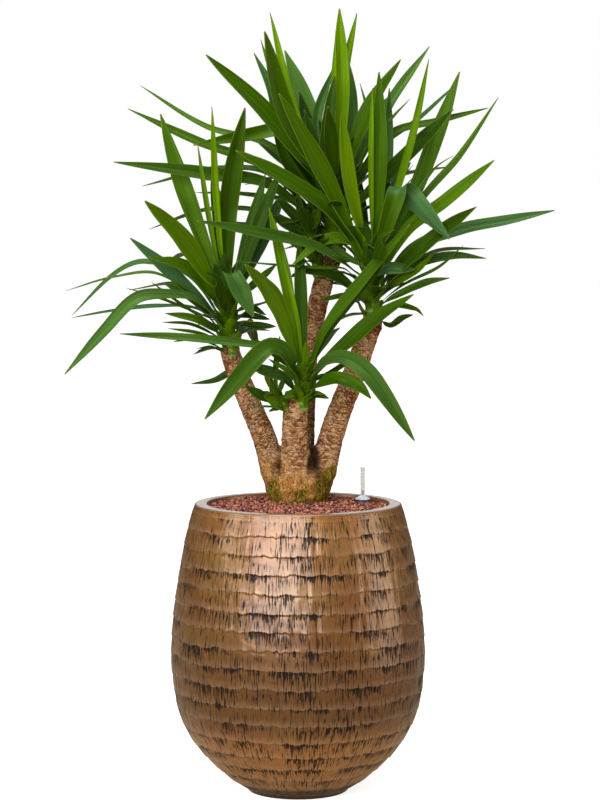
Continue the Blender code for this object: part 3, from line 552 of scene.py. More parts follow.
def smooth_path(points, share):
    """Point at a share (0 to 1) of a smooth curve through the points, spaced by their distances."""
    lengths = [0.0]
    for before, after in zip(points, points[1:]):
        lengths.append(lengths[-1] + (after - before).length)
    place = share * lengths[-1]
    index = 0
    while index < len(points) - 2 and place > lengths[index + 1]:
        index += 1
    span = lengths[index + 1] - lengths[index]
    t = (place - lengths[index]) / span

    def slope(i):
        """Direction of the curve at one of the points."""
        if i == 0:
            return (points[1] - points[0]) / lengths[1]
        if i == len(points) - 1:
            return (points[-1] - points[-2]) / (lengths[-1] - lengths[-2])
        return (points[i + 1] - points[i - 1]) / (lengths[i + 1] - lengths[i - 1])

    start = points[index]
    end = points[index + 1]
    h10 = t * (1 - t) ** 2
    h01 = t * t * (3 - 2 * t)
    h11 = t * t * (t - 1)
    return start * (1 - h01) + slope(index) * (h10 * span) + end * h01 + slope(index + 1) * (h11 * span)


def spin_profile(name, profile, steps):
    """Turns a drawn profile (radius, height) round Z with the spin tool and closes it at the axis."""
    mesh = bpy.data.meshes.new(name)
    mesh.from_pydata([(radius, 0, height) for radius, height in profile],
                     [(i, i + 1) for i in range(len(profile) - 1)], [])
    obj = place_piece(name, mesh)
    only(obj)
    bpy.ops.object.mode_set(mode="EDIT")
    bpy.ops.mesh.select_all(action="SELECT")
    bpy.ops.mesh.spin(steps=steps, angle=math.tau, center=(0, 0, 0), axis=(0, 0, 1))
    close_mesh()
    bpy.ops.object.shade_smooth()
    return obj


# ---------------------------------------------------------------- planter

POT_HEIGHT = 615 * MM
RIM_OUTER_R = 220 * MM
RIM_INNER_R = 193.5 * MM
BASE_R = 105 * MM
FLOOR = 20 * MM
WALL = 20 * MM
RIM_ROUND = 4.5 * MM
BAND_PITCH = 39 * MM
FIRST_LIP = 44 * MM             # down the wall from the rim
PLAIN_STRIP = 11 * MM           # smooth wall under the rim
BAND_STEP = 1.5 * MM            # how far each lip stands out over the band below
WALL_STEPS = 440
WALL_RADIUS = 250 * MM          # patterns round the wall are laid out at this radius
BAND_ROWS = (0.0, 0.05, 0.12, 0.22, 0.35, 0.5, 0.65, 0.78, 0.88, 0.95, 1.0)
# height and radius of the belly, from the base up to the rim, mm
BELLY = ((6, 109.5), (32, 150), (74, 195), (117, 229), (180, 257), (270, 269.5),
         (350, 268), (450, 255.5), (540, 239.5), (611, 221))


def belly_line():
    """Distance walked down the outer wall, with radius, height and outward direction there."""
    drawn = [Vector((radius * MM, 0, height * MM)) for height, radius in reversed(BELLY)]
    points = [smooth_path(drawn, i / 400) for i in range(401)]
    radius = np.array([p.x for p in points])
    height = np.array([p.z for p in points])
    walked = np.concatenate(([0], np.cumsum(np.hypot(np.diff(radius), np.diff(height)))))
    slope_r, slope_z = np.gradient(radius, walked), np.gradient(height, walked)
    return walked, radius, height, -slope_z, slope_r


def wall_rows(length):
    """Distance down the wall, band number and place in the band for each row of the chiselled wall."""
    rows = []
    top, lip, band = PLAIN_STRIP, FIRST_LIP, 1
    while lip < length - 6 * MM:
        for place in BAND_ROWS:
            rows.append((top + (lip - top) * place, band, place))
        top, lip, band = lip + 1.0 * MM, lip + BAND_PITCH, band + 1
    for place in BAND_ROWS[:-1]:
        rows.append((top + (length - top) * place, band, place))
    return rows


def model_planter():
    """The planter: a turned body whose chiselled bands hang over each other like shingles."""
    walked, radius, height, out_r, out_z = belly_line()
    length = walked[-1]
    rows = wall_rows(length)
    profile = [(0, FLOOR), (92 * MM, FLOOR)]
    for z, r in BELLY[2:-1]:
        profile.append((r * MM - WALL, z * MM + 4 * MM))
    profile += [(RIM_INNER_R + 8 * MM, 578 * MM), (RIM_INNER_R + 0.6 * MM, 594 * MM),
                (RIM_INNER_R, 604 * MM), (RIM_INNER_R, POT_HEIGHT - 1.2 * MM),
                (RIM_INNER_R + 1.2 * MM, POT_HEIGHT), (200 * MM, POT_HEIGHT), (210 * MM, POT_HEIGHT)]
    for turn in (0, 22, 45, 68, 90):
        a = math.radians(turn)
        profile.append((RIM_OUTER_R - RIM_ROUND + RIM_ROUND * math.sin(a),
                        POT_HEIGHT - RIM_ROUND + RIM_ROUND * math.cos(a)))
    first_wall = len(profile)
    for down, _, _ in rows:
        profile.append((np.interp(down, walked, radius), np.interp(down, walked, height)))
    last_wall = len(profile)
    profile += [(BELLY[0][1] * MM, BELLY[0][0] * MM), (BASE_R + 2 * MM, 1.5 * MM), (BASE_R, 0), (0, 0)]
    pot = spin_profile("planter", profile, WALL_STEPS)

    # find the row of each vertex, then chisel the wall
    co = corners(pot)
    around = np.arctan2(co[:, 1], co[:, 0])
    drawn = np.array(profile)
    flat = np.stack([np.hypot(co[:, 0], co[:, 1]), co[:, 2]], 1)
    row = np.empty(len(co), int)
    at_once = 20000
    for start in range(0, len(co), at_once):
        part = flat[start:start + at_once]
        gap = ((part[:, None, :] - drawn[None, :, :]) ** 2).sum(2)
        row[start:start + at_once] = gap.argmin(1)
    wall = (row >= first_wall) & (row < last_wall)
    down, band, place = np.array(rows)[row[wall] - first_wall].T
    ring = np.stack([np.cos(around[wall]), np.sin(around[wall])], 1) * WALL_RADIUS

    def round_the_wall(width, level, salt):
        """Noise with features of this width round the wall, changing with level."""
        return cloudy(np.column_stack([ring / width, level]), salt)

    def lip_sway(number):
        """How far down a lip hangs: long swags, chisel widths, and the ragged ends of strokes."""
        sway = 3.6 * MM * round_the_wall(75 * MM, number * 7.3, 1)
        sway += 1.9 * MM * round_the_wall(26 * MM, number * 5.1, 2)
        sway += 3.3 * MM * round_the_wall(8 * MM, number * 3.7, 3)
        return sway * smooth_step(0.5, 1.5, number + 0.5)

    above = np.where(band > 1, 1.0, 0.0) * lip_sway(band - 1)
    below = lip_sway(band)
    # the last lip, at the foot, is cut nearly straight
    below[down > length - 30 * MM] *= 0.3
    down_here = np.clip(down + above * (1 - place) + below * place, PLAIN_STRIP * 0.6, length)
    # each band leans out to its lip, by more or less; then waves, dents and the strokes themselves
    uneven = 0.75 + 0.45 * round_the_wall(90 * MM, band * 6.1, 7)
    stand = BAND_STEP * uneven * (place ** 1.5 - 0.5)
    stand[band == 1] = BAND_STEP * 0.5 * place[band == 1] ** 2
    stand += 0.7 * MM * smooth_step(0.85, 0.97, place) * round_the_wall(14 * MM, band * 9.7, 4)
    stand += 0.7 * MM * round_the_wall(34 * MM, band * 4.3 + place * 0.6, 5) * np.minimum(place * 4, 1)
    stroke = round_the_wall(9.5 * MM, down_here / (55 * MM), 6)
    stand += 0.9 * MM * stroke * np.minimum(place * 5, 1)
    stand *= smooth_step(0, 10 * MM, down_here - PLAIN_STRIP * 0.6) * smooth_step(0, 18 * MM, length - down)
    r = np.interp(down_here, walked, radius) + np.interp(down_here, walked, out_r) * stand
    co[wall, 0] = np.cos(around[wall]) * r
    co[wall, 1] = np.sin(around[wall]) * r
    co[wall, 2] = np.interp(down_here, walked, height) + np.interp(down_here, walked, out_z) * stand
    move_corners(pot, co)

    number = np.zeros(len(co))
    number[wall] = band + place * 0.999
    keep_number(pot, "band", number)
    # sideways place is taken at a fixed radius, so that strokes stay upright on the curved wall
    held = np.column_stack([np.cos(around), np.sin(around), np.zeros(len(co))]) * WALL_RADIUS
    held[wall, 2] = down_here
    held[co[:, 2] < 6.5 * MM, 2] = length       # the foot's edge and the underside
    keep_place(pot, "wall_place", held)
    finish_piece(pot, "chiselled_planter", ["bronze"], stands_for=["pot"])


# ---------------------------------------------------------------- granules

BED_EDGE_Z = 607 * MM
BED_CREST_Z = 614 * MM
GAUGE_XY = (139 * MM, 70 * MM)
STUMP_XY = (4 * MM, 42 * MM)
GRAIN_PITCH = 4.9 * MM


def bed_height(distance):
    """Height of the tops of the granules at a distance from the planter's axis."""
    return np.interp(distance, [90 * MM, 150 * MM, 193 * MM], [BED_CREST_Z, 609.5 * MM, BED_EDGE_Z])


def turned(first, second, angle):
    """Two coordinates of each grain's corners, after each grain's own turn."""
    cos, sin = np.cos(angle)[:, None], np.sin(angle)[:, None]
    return first * cos - second * sin, first * sin + second * cos


def model_granules():
    """Loose grains 5 to 7 mm across, packed over a bed that fills the planter; one in seven lies
    loose on top of the others. A grain has 20 faces, because thousands are seen at once."""
    profile = [(0, FLOOR + 1 * MM), (91 * MM, FLOOR + 1 * MM)]
    for z, r in BELLY[2:-1]:
        profile.append((r * MM - WALL - 1 * MM, z * MM + 4 * MM))
    profile += [(RIM_INNER_R + 7 * MM, 578 * MM), (RIM_INNER_R - 0.6 * MM, 593 * MM),
                (RIM_INNER_R - 0.6 * MM, BED_EDGE_Z - 9 * MM), (150 * MM, 599 * MM),
                (90 * MM, BED_CREST_Z - 9 * MM), (0, BED_CREST_Z - 9 * MM)]
    bed = spin_profile("bed", profile, 96)

    bpy.ops.mesh.primitive_ico_sphere_add(subdivisions=1, radius=0.5)
    pebble = bpy.context.object
    shape = corners(pebble)
    faces = np.array([list(face.vertices) for face in pebble.data.polygons])
    places = []
    for i in range(-42, 43):
        for j in range(-46, 47):
            jitter = scatter([[i, j, 1], [i, j, 2], [i, j, 3], [i, j, 4], [i, j, 5]])
            x = (i + 0.5 * (j % 2)) * GRAIN_PITCH + (jitter[0] - 0.5) * 2.6 * MM
            y = j * GRAIN_PITCH * 0.87 + (jitter[1] - 0.5) * 2.6 * MM
            size = (5.4 + 2.0 * jitter[2]) * MM
            distance = math.hypot(x, y)
            under_stump = math.hypot((x - STUMP_XY[0]) / 58, (y - STUMP_XY[1]) / 46) < MM
            from_gauge = math.hypot(x - GAUGE_XY[0], y - GAUGE_XY[1])
            if distance > RIM_INNER_R - size * 0.55 or under_stump or from_gauge < 10 * MM:
                continue
            z = float(bed_height(distance)) - size * 0.5 - jitter[3] * 2.6 * MM
            if jitter[4] < 0.15:
                z += 4.6 * MM
            # scooped out round the gauge, so that its skirt shows
            z -= 5.5 * MM * smooth_step(40 * MM, 24 * MM, from_gauge)
            places.append((x, y, z, size, i, j))
    places = np.array(places)
    count = len(places)
    turns = np.stack([scatter(places[:, 4:6], 20 + k) for k in range(6)], 1)
    stretched = shape[None, :, :] * (0.92 + 0.2 * turns[:, None, 2:5])
    each_corner = np.column_stack([np.repeat(np.arange(count), len(shape)),
                                   np.tile(np.arange(len(shape)), count)])
    lumps = 1 + 0.2 * (scatter(each_corner, 5) - 0.5)
    x, y, z = np.moveaxis(stretched * lumps.reshape(count, len(shape), 1), 2, 0)
    y, z = turned(y, z, turns[:, 1] * math.tau)
    x, y = turned(x, y, turns[:, 0] * math.tau)
    grains = np.stack([x, y, z], 2) * places[:, None, 3:4] + places[:, None, 0:3]
    mesh = bpy.data.meshes.new("grains")
    all_faces = (faces[None] + (np.arange(count) * len(shape))[:, None, None]).reshape(-1, faces.shape[1])
    mesh.from_pydata(grains.reshape(-1, 3).tolist(), [], all_faces.tolist())
    loose = place_piece("grains", mesh)
    keep_number(loose, "grain_tint", np.repeat(turns[:, 5] ** 0.85, len(shape)))
    keep_number(loose, "grain_top", (z + 0.5).reshape(-1))
    bpy.data.objects.remove(pebble)
    only(loose)
    bpy.ops.object.shade_smooth()
    finish_piece(loose, "loose_clay_grains", ["grains"])
    finish_piece(bed, "clay_bed", ["bed"], stands_for=["clay_granules"])


# ---------------------------------------------------------------- trunk

# height and radius of the stump, mm; it is less deep than wide by the scale below
STUMP = ((572.5, 56), (600, 61), (614, 65), (640, 73), (668, 79), (692, 76), (716, 61), (738, 39))
STUMP_DEPTH_SCALE = 0.80
# centre line x, y, z and radius of each cane, mm, from inside the stump to the sawn top
CANES = {
    "left": ((-34, 45, 630, 25), (-52, 46, 672, 26), (-71, 47, 747, 25.5), (-98, 49, 811, 24),
             (-120, 50, 865, 23), (-140, 51, 916, 21.5), (-147, 52, 944, 21)),
    "right": ((34, 50, 630, 27), (54, 52, 680, 27.5), (70, 54, 747, 27), (91, 57, 811, 25.5),
              (116, 60, 874, 24.5), (139, 62, 940, 23.5), (156, 64, 988, 22.5), (162, 65, 1010, 21.5)),
    "front": ((-2, 28, 640, 29), (-6, 18, 690, 29), (-7, 8, 745, 28.5), (-6, 0, 800, 26.5),
              (-4, -6, 851, 24.5)),
    "rear": ((8, 66, 640, 25), (11, 78, 700, 23.5), (14, 86, 760, 22), (17, 92, 850, 21.5),
             (22, 96, 937, 21.5), (35, 98, 1000, 22), (50, 99, 1063, 21.5), (64, 100, 1109, 20.5),
             (82, 101, 1146, 19.5)),
}
# sawn or budding side stubs, same columns
STUBS = {
    "right": ((150, 62, 975, 9), (172, 56, 980, 8), (183, 54, 983, 6)),
    "rear": ((78, 98, 1136, 12), (98, 90, 1146, 10), (106, 88, 1152, 8)),
}
BARK_VOXEL = 2.1 * MM


def draw_limb(name, stations):
    """A tube along x, y, z, radius stations in mm: a curve with a round bevel, made a mesh."""
    curve = bpy.data.curves.new(name, "CURVE")
    curve.dimensions = "3D"
    curve.bevel_depth = 1.0
    curve.bevel_resolution = 8
    curve.use_fill_caps = True
    spline = curve.splines.new("POLY")
    centres = [Vector(station[:3]) * MM for station in stations]
    places = [i / 30 for i in range(31)]
    spline.points.add(len(places) - 1)
    lengths = np.concatenate(([0], np.cumsum([(b - a).length for a, b in zip(centres, centres[1:])])))
    for point, place in zip(spline.points, places):
        point.co = (*smooth_path(centres, place), 1)
        point.radius = float(np.interp(place * lengths[-1], lengths, [s[3] * MM for s in stations]))
    only(place_piece(name, curve))
    bpy.ops.object.convert(target="MESH")
    bpy.ops.object.mode_set(mode="EDIT")
    close_mesh()
    return bpy.context.object


def place_on_limb(rows, stations):
    """For each point: how far it lies outside the limb, how far along, and the angle round it."""
    centres = [Vector(station[:3]) * MM for station in stations]
    path = np.array([smooth_path(centres, i / 60) for i in range(61)])
    lengths = np.concatenate(([0], np.cumsum(np.linalg.norm(np.diff(path, axis=0), axis=1))))
    knots = np.concatenate(([0], np.cumsum([(b - a).length for a, b in zip(centres, centres[1:])])))
    radii = np.interp(lengths / lengths[-1], knots / knots[-1], [s[3] * MM for s in stations])
    best = np.full(len(rows), 1e9)
    along = np.zeros(len(rows))
    angle = np.zeros(len(rows))
    for i in range(len(path) - 1):
        step = path[i + 1] - path[i]
        span = np.linalg.norm(step)
        axis = step / span
        away = rows - path[i]
        t = np.clip(away @ axis, 0, span)
        offset = away - t[:, None] * axis
        gap = np.linalg.norm(offset, axis=1) - (radii[i] + (radii[i + 1] - radii[i]) * t / span)
        side = np.cross(axis, (0, 1, 0))
        side /= np.linalg.norm(side)
        front = np.cross(axis, side)
        nearer = gap < best
        best[nearer] = gap[nearer]
        along[nearer] = lengths[i] + t[nearer]
        angle[nearer] = np.arctan2(offset[nearer] @ front, offset[nearer] @ side)
    return best, along, angle


def model_trunk():
    """Stump and canes grown as one: joined, remeshed, then roughened into cork and root fibre."""
    profile = [(0, STUMP[-1][0] * MM)]
    profile += [(radius * MM, height * MM) for height, radius in reversed(STUMP)]
    profile.append((0, STUMP[0][0] * MM))
    trunk = spin_profile("trunk", profile, 64)
    co = corners(trunk)
    co[:, 1] = co[:, 1] * STUMP_DEPTH_SCALE + STUMP_XY[1]
    co[:, 0] += STUMP_XY[0]
    move_corners(trunk, co)
    limbs = [draw_limb(f"cane_{side}", stations) for side, stations in CANES.items()]
    limbs += [draw_limb(f"stub_{side}", stations) for side, stations in STUBS.items()]
    join([trunk] + limbs)
    apply_modifier(trunk, "REMESH", mode="VOXEL", voxel_size=BARK_VOXEL, use_smooth_shade=True)
    apply_modifier(trunk, "SMOOTH", factor=0.6, iterations=4)

    co = corners(trunk)
    high = co[:, 2]             # a view, so it follows as the skin is moved
    normal = np.empty(len(co) * 3)
    trunk.data.vertices.foreach_get("normal", normal)
    normal = normal.reshape(-1, 3)
    # the cane that each point is nearest to, and its place on that cane
    nearest, second = np.full(len(co), 1e9), np.full(len(co), 1e9)
    along, angle, which = np.zeros(len(co)), np.zeros(len(co)), np.zeros(len(co))
    for number, stations in enumerate(CANES.values()):
        gap, far, turn = place_on_limb(co, stations)
        closer = gap < nearest
        second = np.where(closer, nearest, np.minimum(second, gap))
        nearest[closer] = gap[closer]
        along[closer], angle[closer], which[closer] = far[closer], turn[closer], number
    # low on the stump the scars give way to root fibre
    rooty = smooth_step(732 * MM, 652 * MM, high + 26 * MM * cloudy(co / (20 * MM), 8))
    around_stump = np.arctan2(co[:, 1] - STUMP_XY[1], co[:, 0] - STUMP_XY[0])
    ring = np.column_stack([np.cos(around_stump) * 70 / 4.2, np.sin(around_stump) * 70 / 4.2,
                            high / (16 * MM)])
    fibre = 0.6 * cloudy(ring, 9) + 0.4 * cloudy(ring * 2.1, 10)
    knobs = cloudy(co / (13 * MM), 11)
    rings = np.column_stack([np.cos(angle) * 1.5, np.sin(angle) * 1.5, along / (8 * MM)])
    bark_lift = 0.8 * MM * cloudy(rings, 14) + 0.7 * MM * cloudy(co / (7 * MM), 12)
    root_lift = 2.2 * MM * fibre + 2.2 * MM * knobs

    # the canes stand clear of each other down to the swelling of the stump
    web = np.clip(nearest, 0, 16 * MM)
    co -= normal * (web * smooth_step(636 * MM, 720 * MM, high))[:, None]
    # the stump draws in at its lower right
    drawn_in = smooth_step(20 * MM, 75 * MM, co[:, 0]) * smooth_step(672 * MM, 640 * MM, high)
    co[:, 0] -= 8 * MM * drawn_in
    lift = bark_lift * (1 - rooty) + root_lift * rooty
    # the seams where two canes part are pulled in, and carry painted shade
    seam = smooth_step(15 * MM, 2 * MM, second - nearest) * smooth_step(652 * MM, 690 * MM, high)
    seam *= smooth_step(800 * MM, 760 * MM, high)
    lift -= 9 * MM * seam
    co += normal * lift[:, None]
    move_corners(trunk, co)
    # painted shade on the webs between canes, most of all right of the front cane
    left, front, rear = (which == list(CANES).index(side) for side in ("left", "front", "rear"))
    beside = np.abs(co[:, 0] + 6 * MM)          # from the front cane's middle
    shaded = smooth_step(1 * MM, 9 * MM, web) * smooth_step(20 * MM, 28 * MM, beside)
    shaded *= smooth_step(64 * MM, 46 * MM, beside)
    shaded *= smooth_step(660 * MM, 694 * MM, high) * smooth_step(800 * MM, 765 * MM, high)
    next_to_front = smooth_step(50 * MM, 32 * MM, beside) * ~front
    next_to_front *= smooth_step(640 * MM, 704 * MM, high) * smooth_step(815 * MM, 770 * MM, high)
    shaded = np.maximum(shaded, next_to_front)
    shaded *= (co[:, 1] < 60 * MM) * np.where(co[:, 0] > 0, 1.0, 0.6)
    # the rear cane stands in shade, the left one a little
    dimmed = rear * smooth_step(930 * MM, 860 * MM, high) * 0.45 + left * 0.14
    painted_shade = np.clip(np.maximum(np.maximum(seam * 0.8, shaded) * 0.95, dimmed), 0, 1)

    def near(x, z, width, tall, front=-1):
        """A patch on the stump, centred at x and z in mm on the side that faces front or back."""
        spread = ((co[:, 0] / MM - x) / width) ** 2 + ((high / MM - z) / tall) ** 2
        return np.exp(-spread) * np.where((co[:, 1] - STUMP_XY[1]) * front > -12 * MM, 1.0, 0.15)

    moss = near(-54, 634, 18, 34) + 1.1 * near(52, 648, 20, 46) + 0.8 * near(74, 672, 12, 26)
    moss += 0.8 * near(6, 634, 16, 14) + 0.8 * near(26, 612, 40, 12) + 0.7 * near(-20, 610, 40, 10)
    moss += 0.8 * near(-20, 640, 40, 30, 1)
    # place on the skin of a cane 26 mm in radius; each cane starts its own pattern
    skin = np.column_stack([np.cos(angle) * 26 * MM, np.sin(angle) * 26 * MM, along + which * 0.7])
    keep_place(trunk, "cane_place", skin)
    keep_number(trunk, "root", rooty * (1 - 0.8 * seam))
    keep_number(trunk, "painted_shade", painted_shade)
    keep_number(trunk, "moss", np.clip(moss + 0.25 * cloudy(co / (17 * MM), 13), 0, 1))
    finish_piece(trunk, "barked_trunk", ["bark"], stands_for=["trunk"])


# ---------------------------------------------------------------- leaves

# Shoots: foot and heart, and the radius at each, mm
SHOOTS = {
    "left": ((-141, 44, 925), (-152, 38, 1062), 15, 8),
    "right": ((159, 56, 1000), (151, 44, 1135), 16, 8),
    "top": ((82, 94, 1140), (78, 88, 1285), 15, 8),
    "rear_left": ((44, 88, 1092), (24, 66, 1196), 11, 6),
    "front": ((8, -12, 818), (14, -52, 905), 14, 8),
    "front_side": ((-18, -10, 812), (-50, -40, 852), 9, 6),
}
LEAF_FOOT_WIDTH = 0.42          # of the greatest width
LEAF_WIDEST = 0.55              # share of the blade where it is widest
TWIST_END = 0.35                # share of the blade where its upper side has turned its own way
LEAF_SIDES = ["leaf_upper", "leaf_under"]

# Leaves: shoot, place along it from foot (0) to heart (1), greatest width, the way the upper side
# faces, the points that the blade passes through after its foot, mm, of which the last is the tip,
# then how young it is (0 dark and old, 1 bright) and how waxy blue (0 to 1)
SEEN_LEAVES = {
    "top_leaf_wide_left": ("top", 0.80, 42, (0.5, -1, 0.4), ((-60, 50, 1432), (-193, 10, 1560)), 0.45, 0.0),
    "top_leaf_dark_upright": ("top", 0.92, 42, (0.3, -1, 0.2), ((-22, 10, 1430), (-69, -60, 1604)),
                              0.45, 0.0),
    "top_leaf_blue_upright": ("top", 0.97, 42, (0.3, -1, 0.0), ((34, 196, 1420), (-29, 236, 1582)),
                              0.75, 0.6),
    "top_leaf_folded": ("top", 0.62, 32, (0, -1, 0.25),
                        ((34, 116, 1345), (46, 122, 1402), (16, 118, 1416), (-100, 100, 1396),
                         (-222, 60, 1372)), 0.5, 0.9),
    "top_leaf_bright_upright": ("top", 1.0, 35, (0.1, -1, 0.1), ((92, 78, 1480), (88, 90, 1662)), 0.9, 0.0),
    "top_leaf_dark_right": ("top", 0.86, 34, (-0.5, -1, 0.3), ((145, 84, 1440), (218, 78, 1554)), 0.38, 0.0),
    "top_leaf_blue_right": ("top", 0.76, 24, (-0.3, -1, 0.2), ((195, 156, 1460), (285, 196, 1588)), 0.7, 0.6),
    "top_leaf_wide_right": ("top", 0.50, 38, (-0.4, -1, 0.5), ((205, 74, 1325), (329, 52, 1448)), 0.1, 0.0),
    "top_leaf_arching_right": ("top", 0.70, 21, (0, -0.8, 0.6),
                               ((200, 134, 1396), (300, 146, 1425), (411, 156, 1454)), 0.42, 0.0),
    "top_leaf_long_left": ("top", 0.46, 24, (0, -0.8, 0.6),
                           ((-60, 118, 1322), (-210, 130, 1379), (-367, 150, 1452)), 0.4, 0.0),
    "top_leaf_low_left": ("top", 0.26, 31, (0, -0.9, 0.5),
                          ((-60, 84, 1288), (-190, 66, 1311), (-390, 30, 1336)), 0.28, 0.05),
    "top_leaf_back_left": ("top", 0.58, 34, (0.2, -0.5, 1), ((10, 260, 1400), (-60, 420, 1440)), 0.3, 0.1),
    "top_leaf_back_right": ("top", 0.36, 34, (-0.2, -0.3, 1), ((150, 260, 1330), (210, 430, 1330)), 0.3, 0.1),
    "right_leaf_bright_upright": ("right", 1.0, 31, (0.2, -1, 0.1), ((109, -24, 1290), (90, -80, 1437)),
                                  0.88, 0.0),
    "right_leaf_wide_left": ("right", 0.90, 43, (0.5, -1, 0.3), ((59, -10, 1300), (-39, -90, 1475)),
                             0.58, 0.0),
    "right_leaf_upright": ("right", 0.96, 33, (0, -1, 0.1), ((172, 34, 1330), (171, 42, 1526)), 0.45, 0.0),
    "right_leaf_narrow_upright": ("right", 0.88, 17, (-0.2, -1, 0.1),
                                  ((214, 36, 1290), (247, 32, 1412), (276, 34, 1553)), 0.8, 0.0),
    "right_leaf_tall": ("right", 0.80, 38, (-0.4, -1, 0.2),
                        ((246, 112, 1263), (300, 116, 1400), (346, 120, 1530)), 0.62, 0.2),
    "right_leaf_long_upper": ("right", 0.62, 18, (-0.3, -0.7, 0.6),
                              ((262, 80, 1254), (345, 86, 1350), (428, 96, 1475)), 0.6, 0.2),
    "right_leaf_bright_lower": ("right", 0.48, 35, (-0.4, -1, 0.6),
                                ((228, 38, 1188), (310, 32, 1252), (414, 22, 1340)), 0.62, 0.0),
    "right_leaf_dark_lower": ("right", 0.30, 38, (-0.3, -1, 0.6),
                              ((214, 4, 1113), (286, -38, 1179), (368, -110, 1242)), 0.2, 0.0),
    "right_leaf_far_reaching": ("right", 0.40, 28, (0, -1, 0.5),
                                ((240, 80, 1150), (350, 90, 1194), (440, 80, 1212), (546, 60, 1234)),
                                0.3, 0.8),
    "right_leaf_folded": ("right", 0.80, 43,
                          ((0, -1, 0), (0, -1, 0.2), (-0.2, 0, 1), (0, 1, 0.3), (0, 1, 0.3)),
                          ((187, -4, 1205), (202, -10, 1254), (216, 6, 1284), (240, 10, 1262),
                           (315, -84, 1175)), 0.45, 0.9),
    "right_leaf_long_left": ("right", 0.66, 25, (0, -1, 0.35),
                             ((38, -20, 1159), (-88, -80, 1190), (-209, -130, 1214)), 0.4, 0.2),
    "right_leaf_back": ("right", 0.45, 34, (-0.2, -0.4, 1), ((230, 230, 1210), (300, 390, 1200)), 0.3, 0.1),
    "left_leaf_tall": ("left", 0.88, 40, (0.4, -1, 0.2),
                       ((-212, 84, 1190), (-262, 108, 1330), (-295, 120, 1440)), 0.66, 0.15),
    "left_leaf_dark_upright": ("left", 1.0, 41, (0.1, -1, 0.1),
                               ((-148, 50, 1230), (-128, 38, 1370), (-112, 36, 1450)), 0.25, 0.0),
    "left_leaf_wide_bright": ("left", 0.78, 46, (0.5, -1, 0.4), ((-232, -50, 1162), (-313, -150, 1254)),
                              0.76, 0.0),
    "left_leaf_blue": ("left", 0.50, 32, (0.4, -1, 0.5), ((-250, 18, 1086), (-354, 8, 1176)), 0.25, 0.8),
    "left_leaf_low_green": ("left", 0.62, 32, (0, -0.9, 0.7), ((-224, 0, 1107), (-310, -60, 1137)),
                            0.55, 0.0),
    "left_leaf_kinked": ("left", 0.46, 17, (0, -0.6, 0.9),
                         ((-230, 84, 1092), (-330, 100, 1124), (-394, 104, 1098), (-487, 104, 1008)),
                         0.5, 0.7),
    "left_leaf_big_drooping": ("left", 0.36, 27, (0.2, -0.9, 0.6),
                               ((-214, -14, 1047), (-286, -50, 1060), (-340, -74, 1050),
                                (-402, -100, 986), (-482, -130, 897)), 0.6, 0.55),
    "left_leaf_folded_front": ("left", 0.96, 42,
                               ((0, 1, 0.2), (0, -0.2, 1), (0.2, -1, 0.4), (0.2, -1, 0.3)),
                               ((-150, 14, 1086), (-142, -6, 1103), (-127, -24, 1078), (-93, -44, 1012)),
                               0.45, 0.5),
    "left_leaf_leaning_right": ("left", 0.84, 29, (-0.3, -1, 0.1), ((-92, 42, 1180), (-35, 46, 1325)),
                                0.1, 0.1),
    "left_leaf_back": ("left", 0.62, 34, (0.2, -0.4, 1), ((-230, 220, 1130), (-290, 380, 1120)), 0.3, 0.1),
    "front_leaf_wide": ("front", 0.94, 43, (0.5, -1, 0.3), ((-45, -110, 1042), (-108, -190, 1126)),
                        0.72, 0.0),
    "front_leaf_long_left": ("front", 0.56, 19, (0, -0.9, 0.4),
                             ((-30, -54, 936), (-84, -54, 953), (-241, -56, 970), (-373, -54, 977)),
                             0.4, 0.2),
    "front_leaf_folded": ("front", 0.40, 39, (0, -1, 0.3),
                          ((-22, -100, 938), (-60, -122, 954), (-126, -150, 886), (-191, -172, 808)),
                          0.4, 0.15),
    "front_leaf_tall_right": ("front", 0.82, 27, (-0.5, -1, 0.3),
                              ((58, -60, 990), (137, -44, 1092), (235, -14, 1205)), 0.48, 0.0),
    "front_leaf_dark_right": ("front", 0.58, 35, (-0.4, -1, 0.5),
                              ((58, -46, 918), (112, -36, 965), (165, -30, 1010), (243, -24, 1059)),
                              0.36, 0.0),
    "front_leaf_drooping_right": ("front", 0.34, 37, (-0.1, -1, 0.6),
                                  ((47, -84, 913), (90, -120, 932), (137, -150, 908), (171, -170, 867),
                                   (238, -200, 766)), 0.34, 0.25),
    "front_side_leaf_dark": ("front_side", 0.55, 24, (0.3, -0.9, 0.6),
                             ((-76, -52, 846), (-112, -60, 868)), 0.28, 0.1),
}
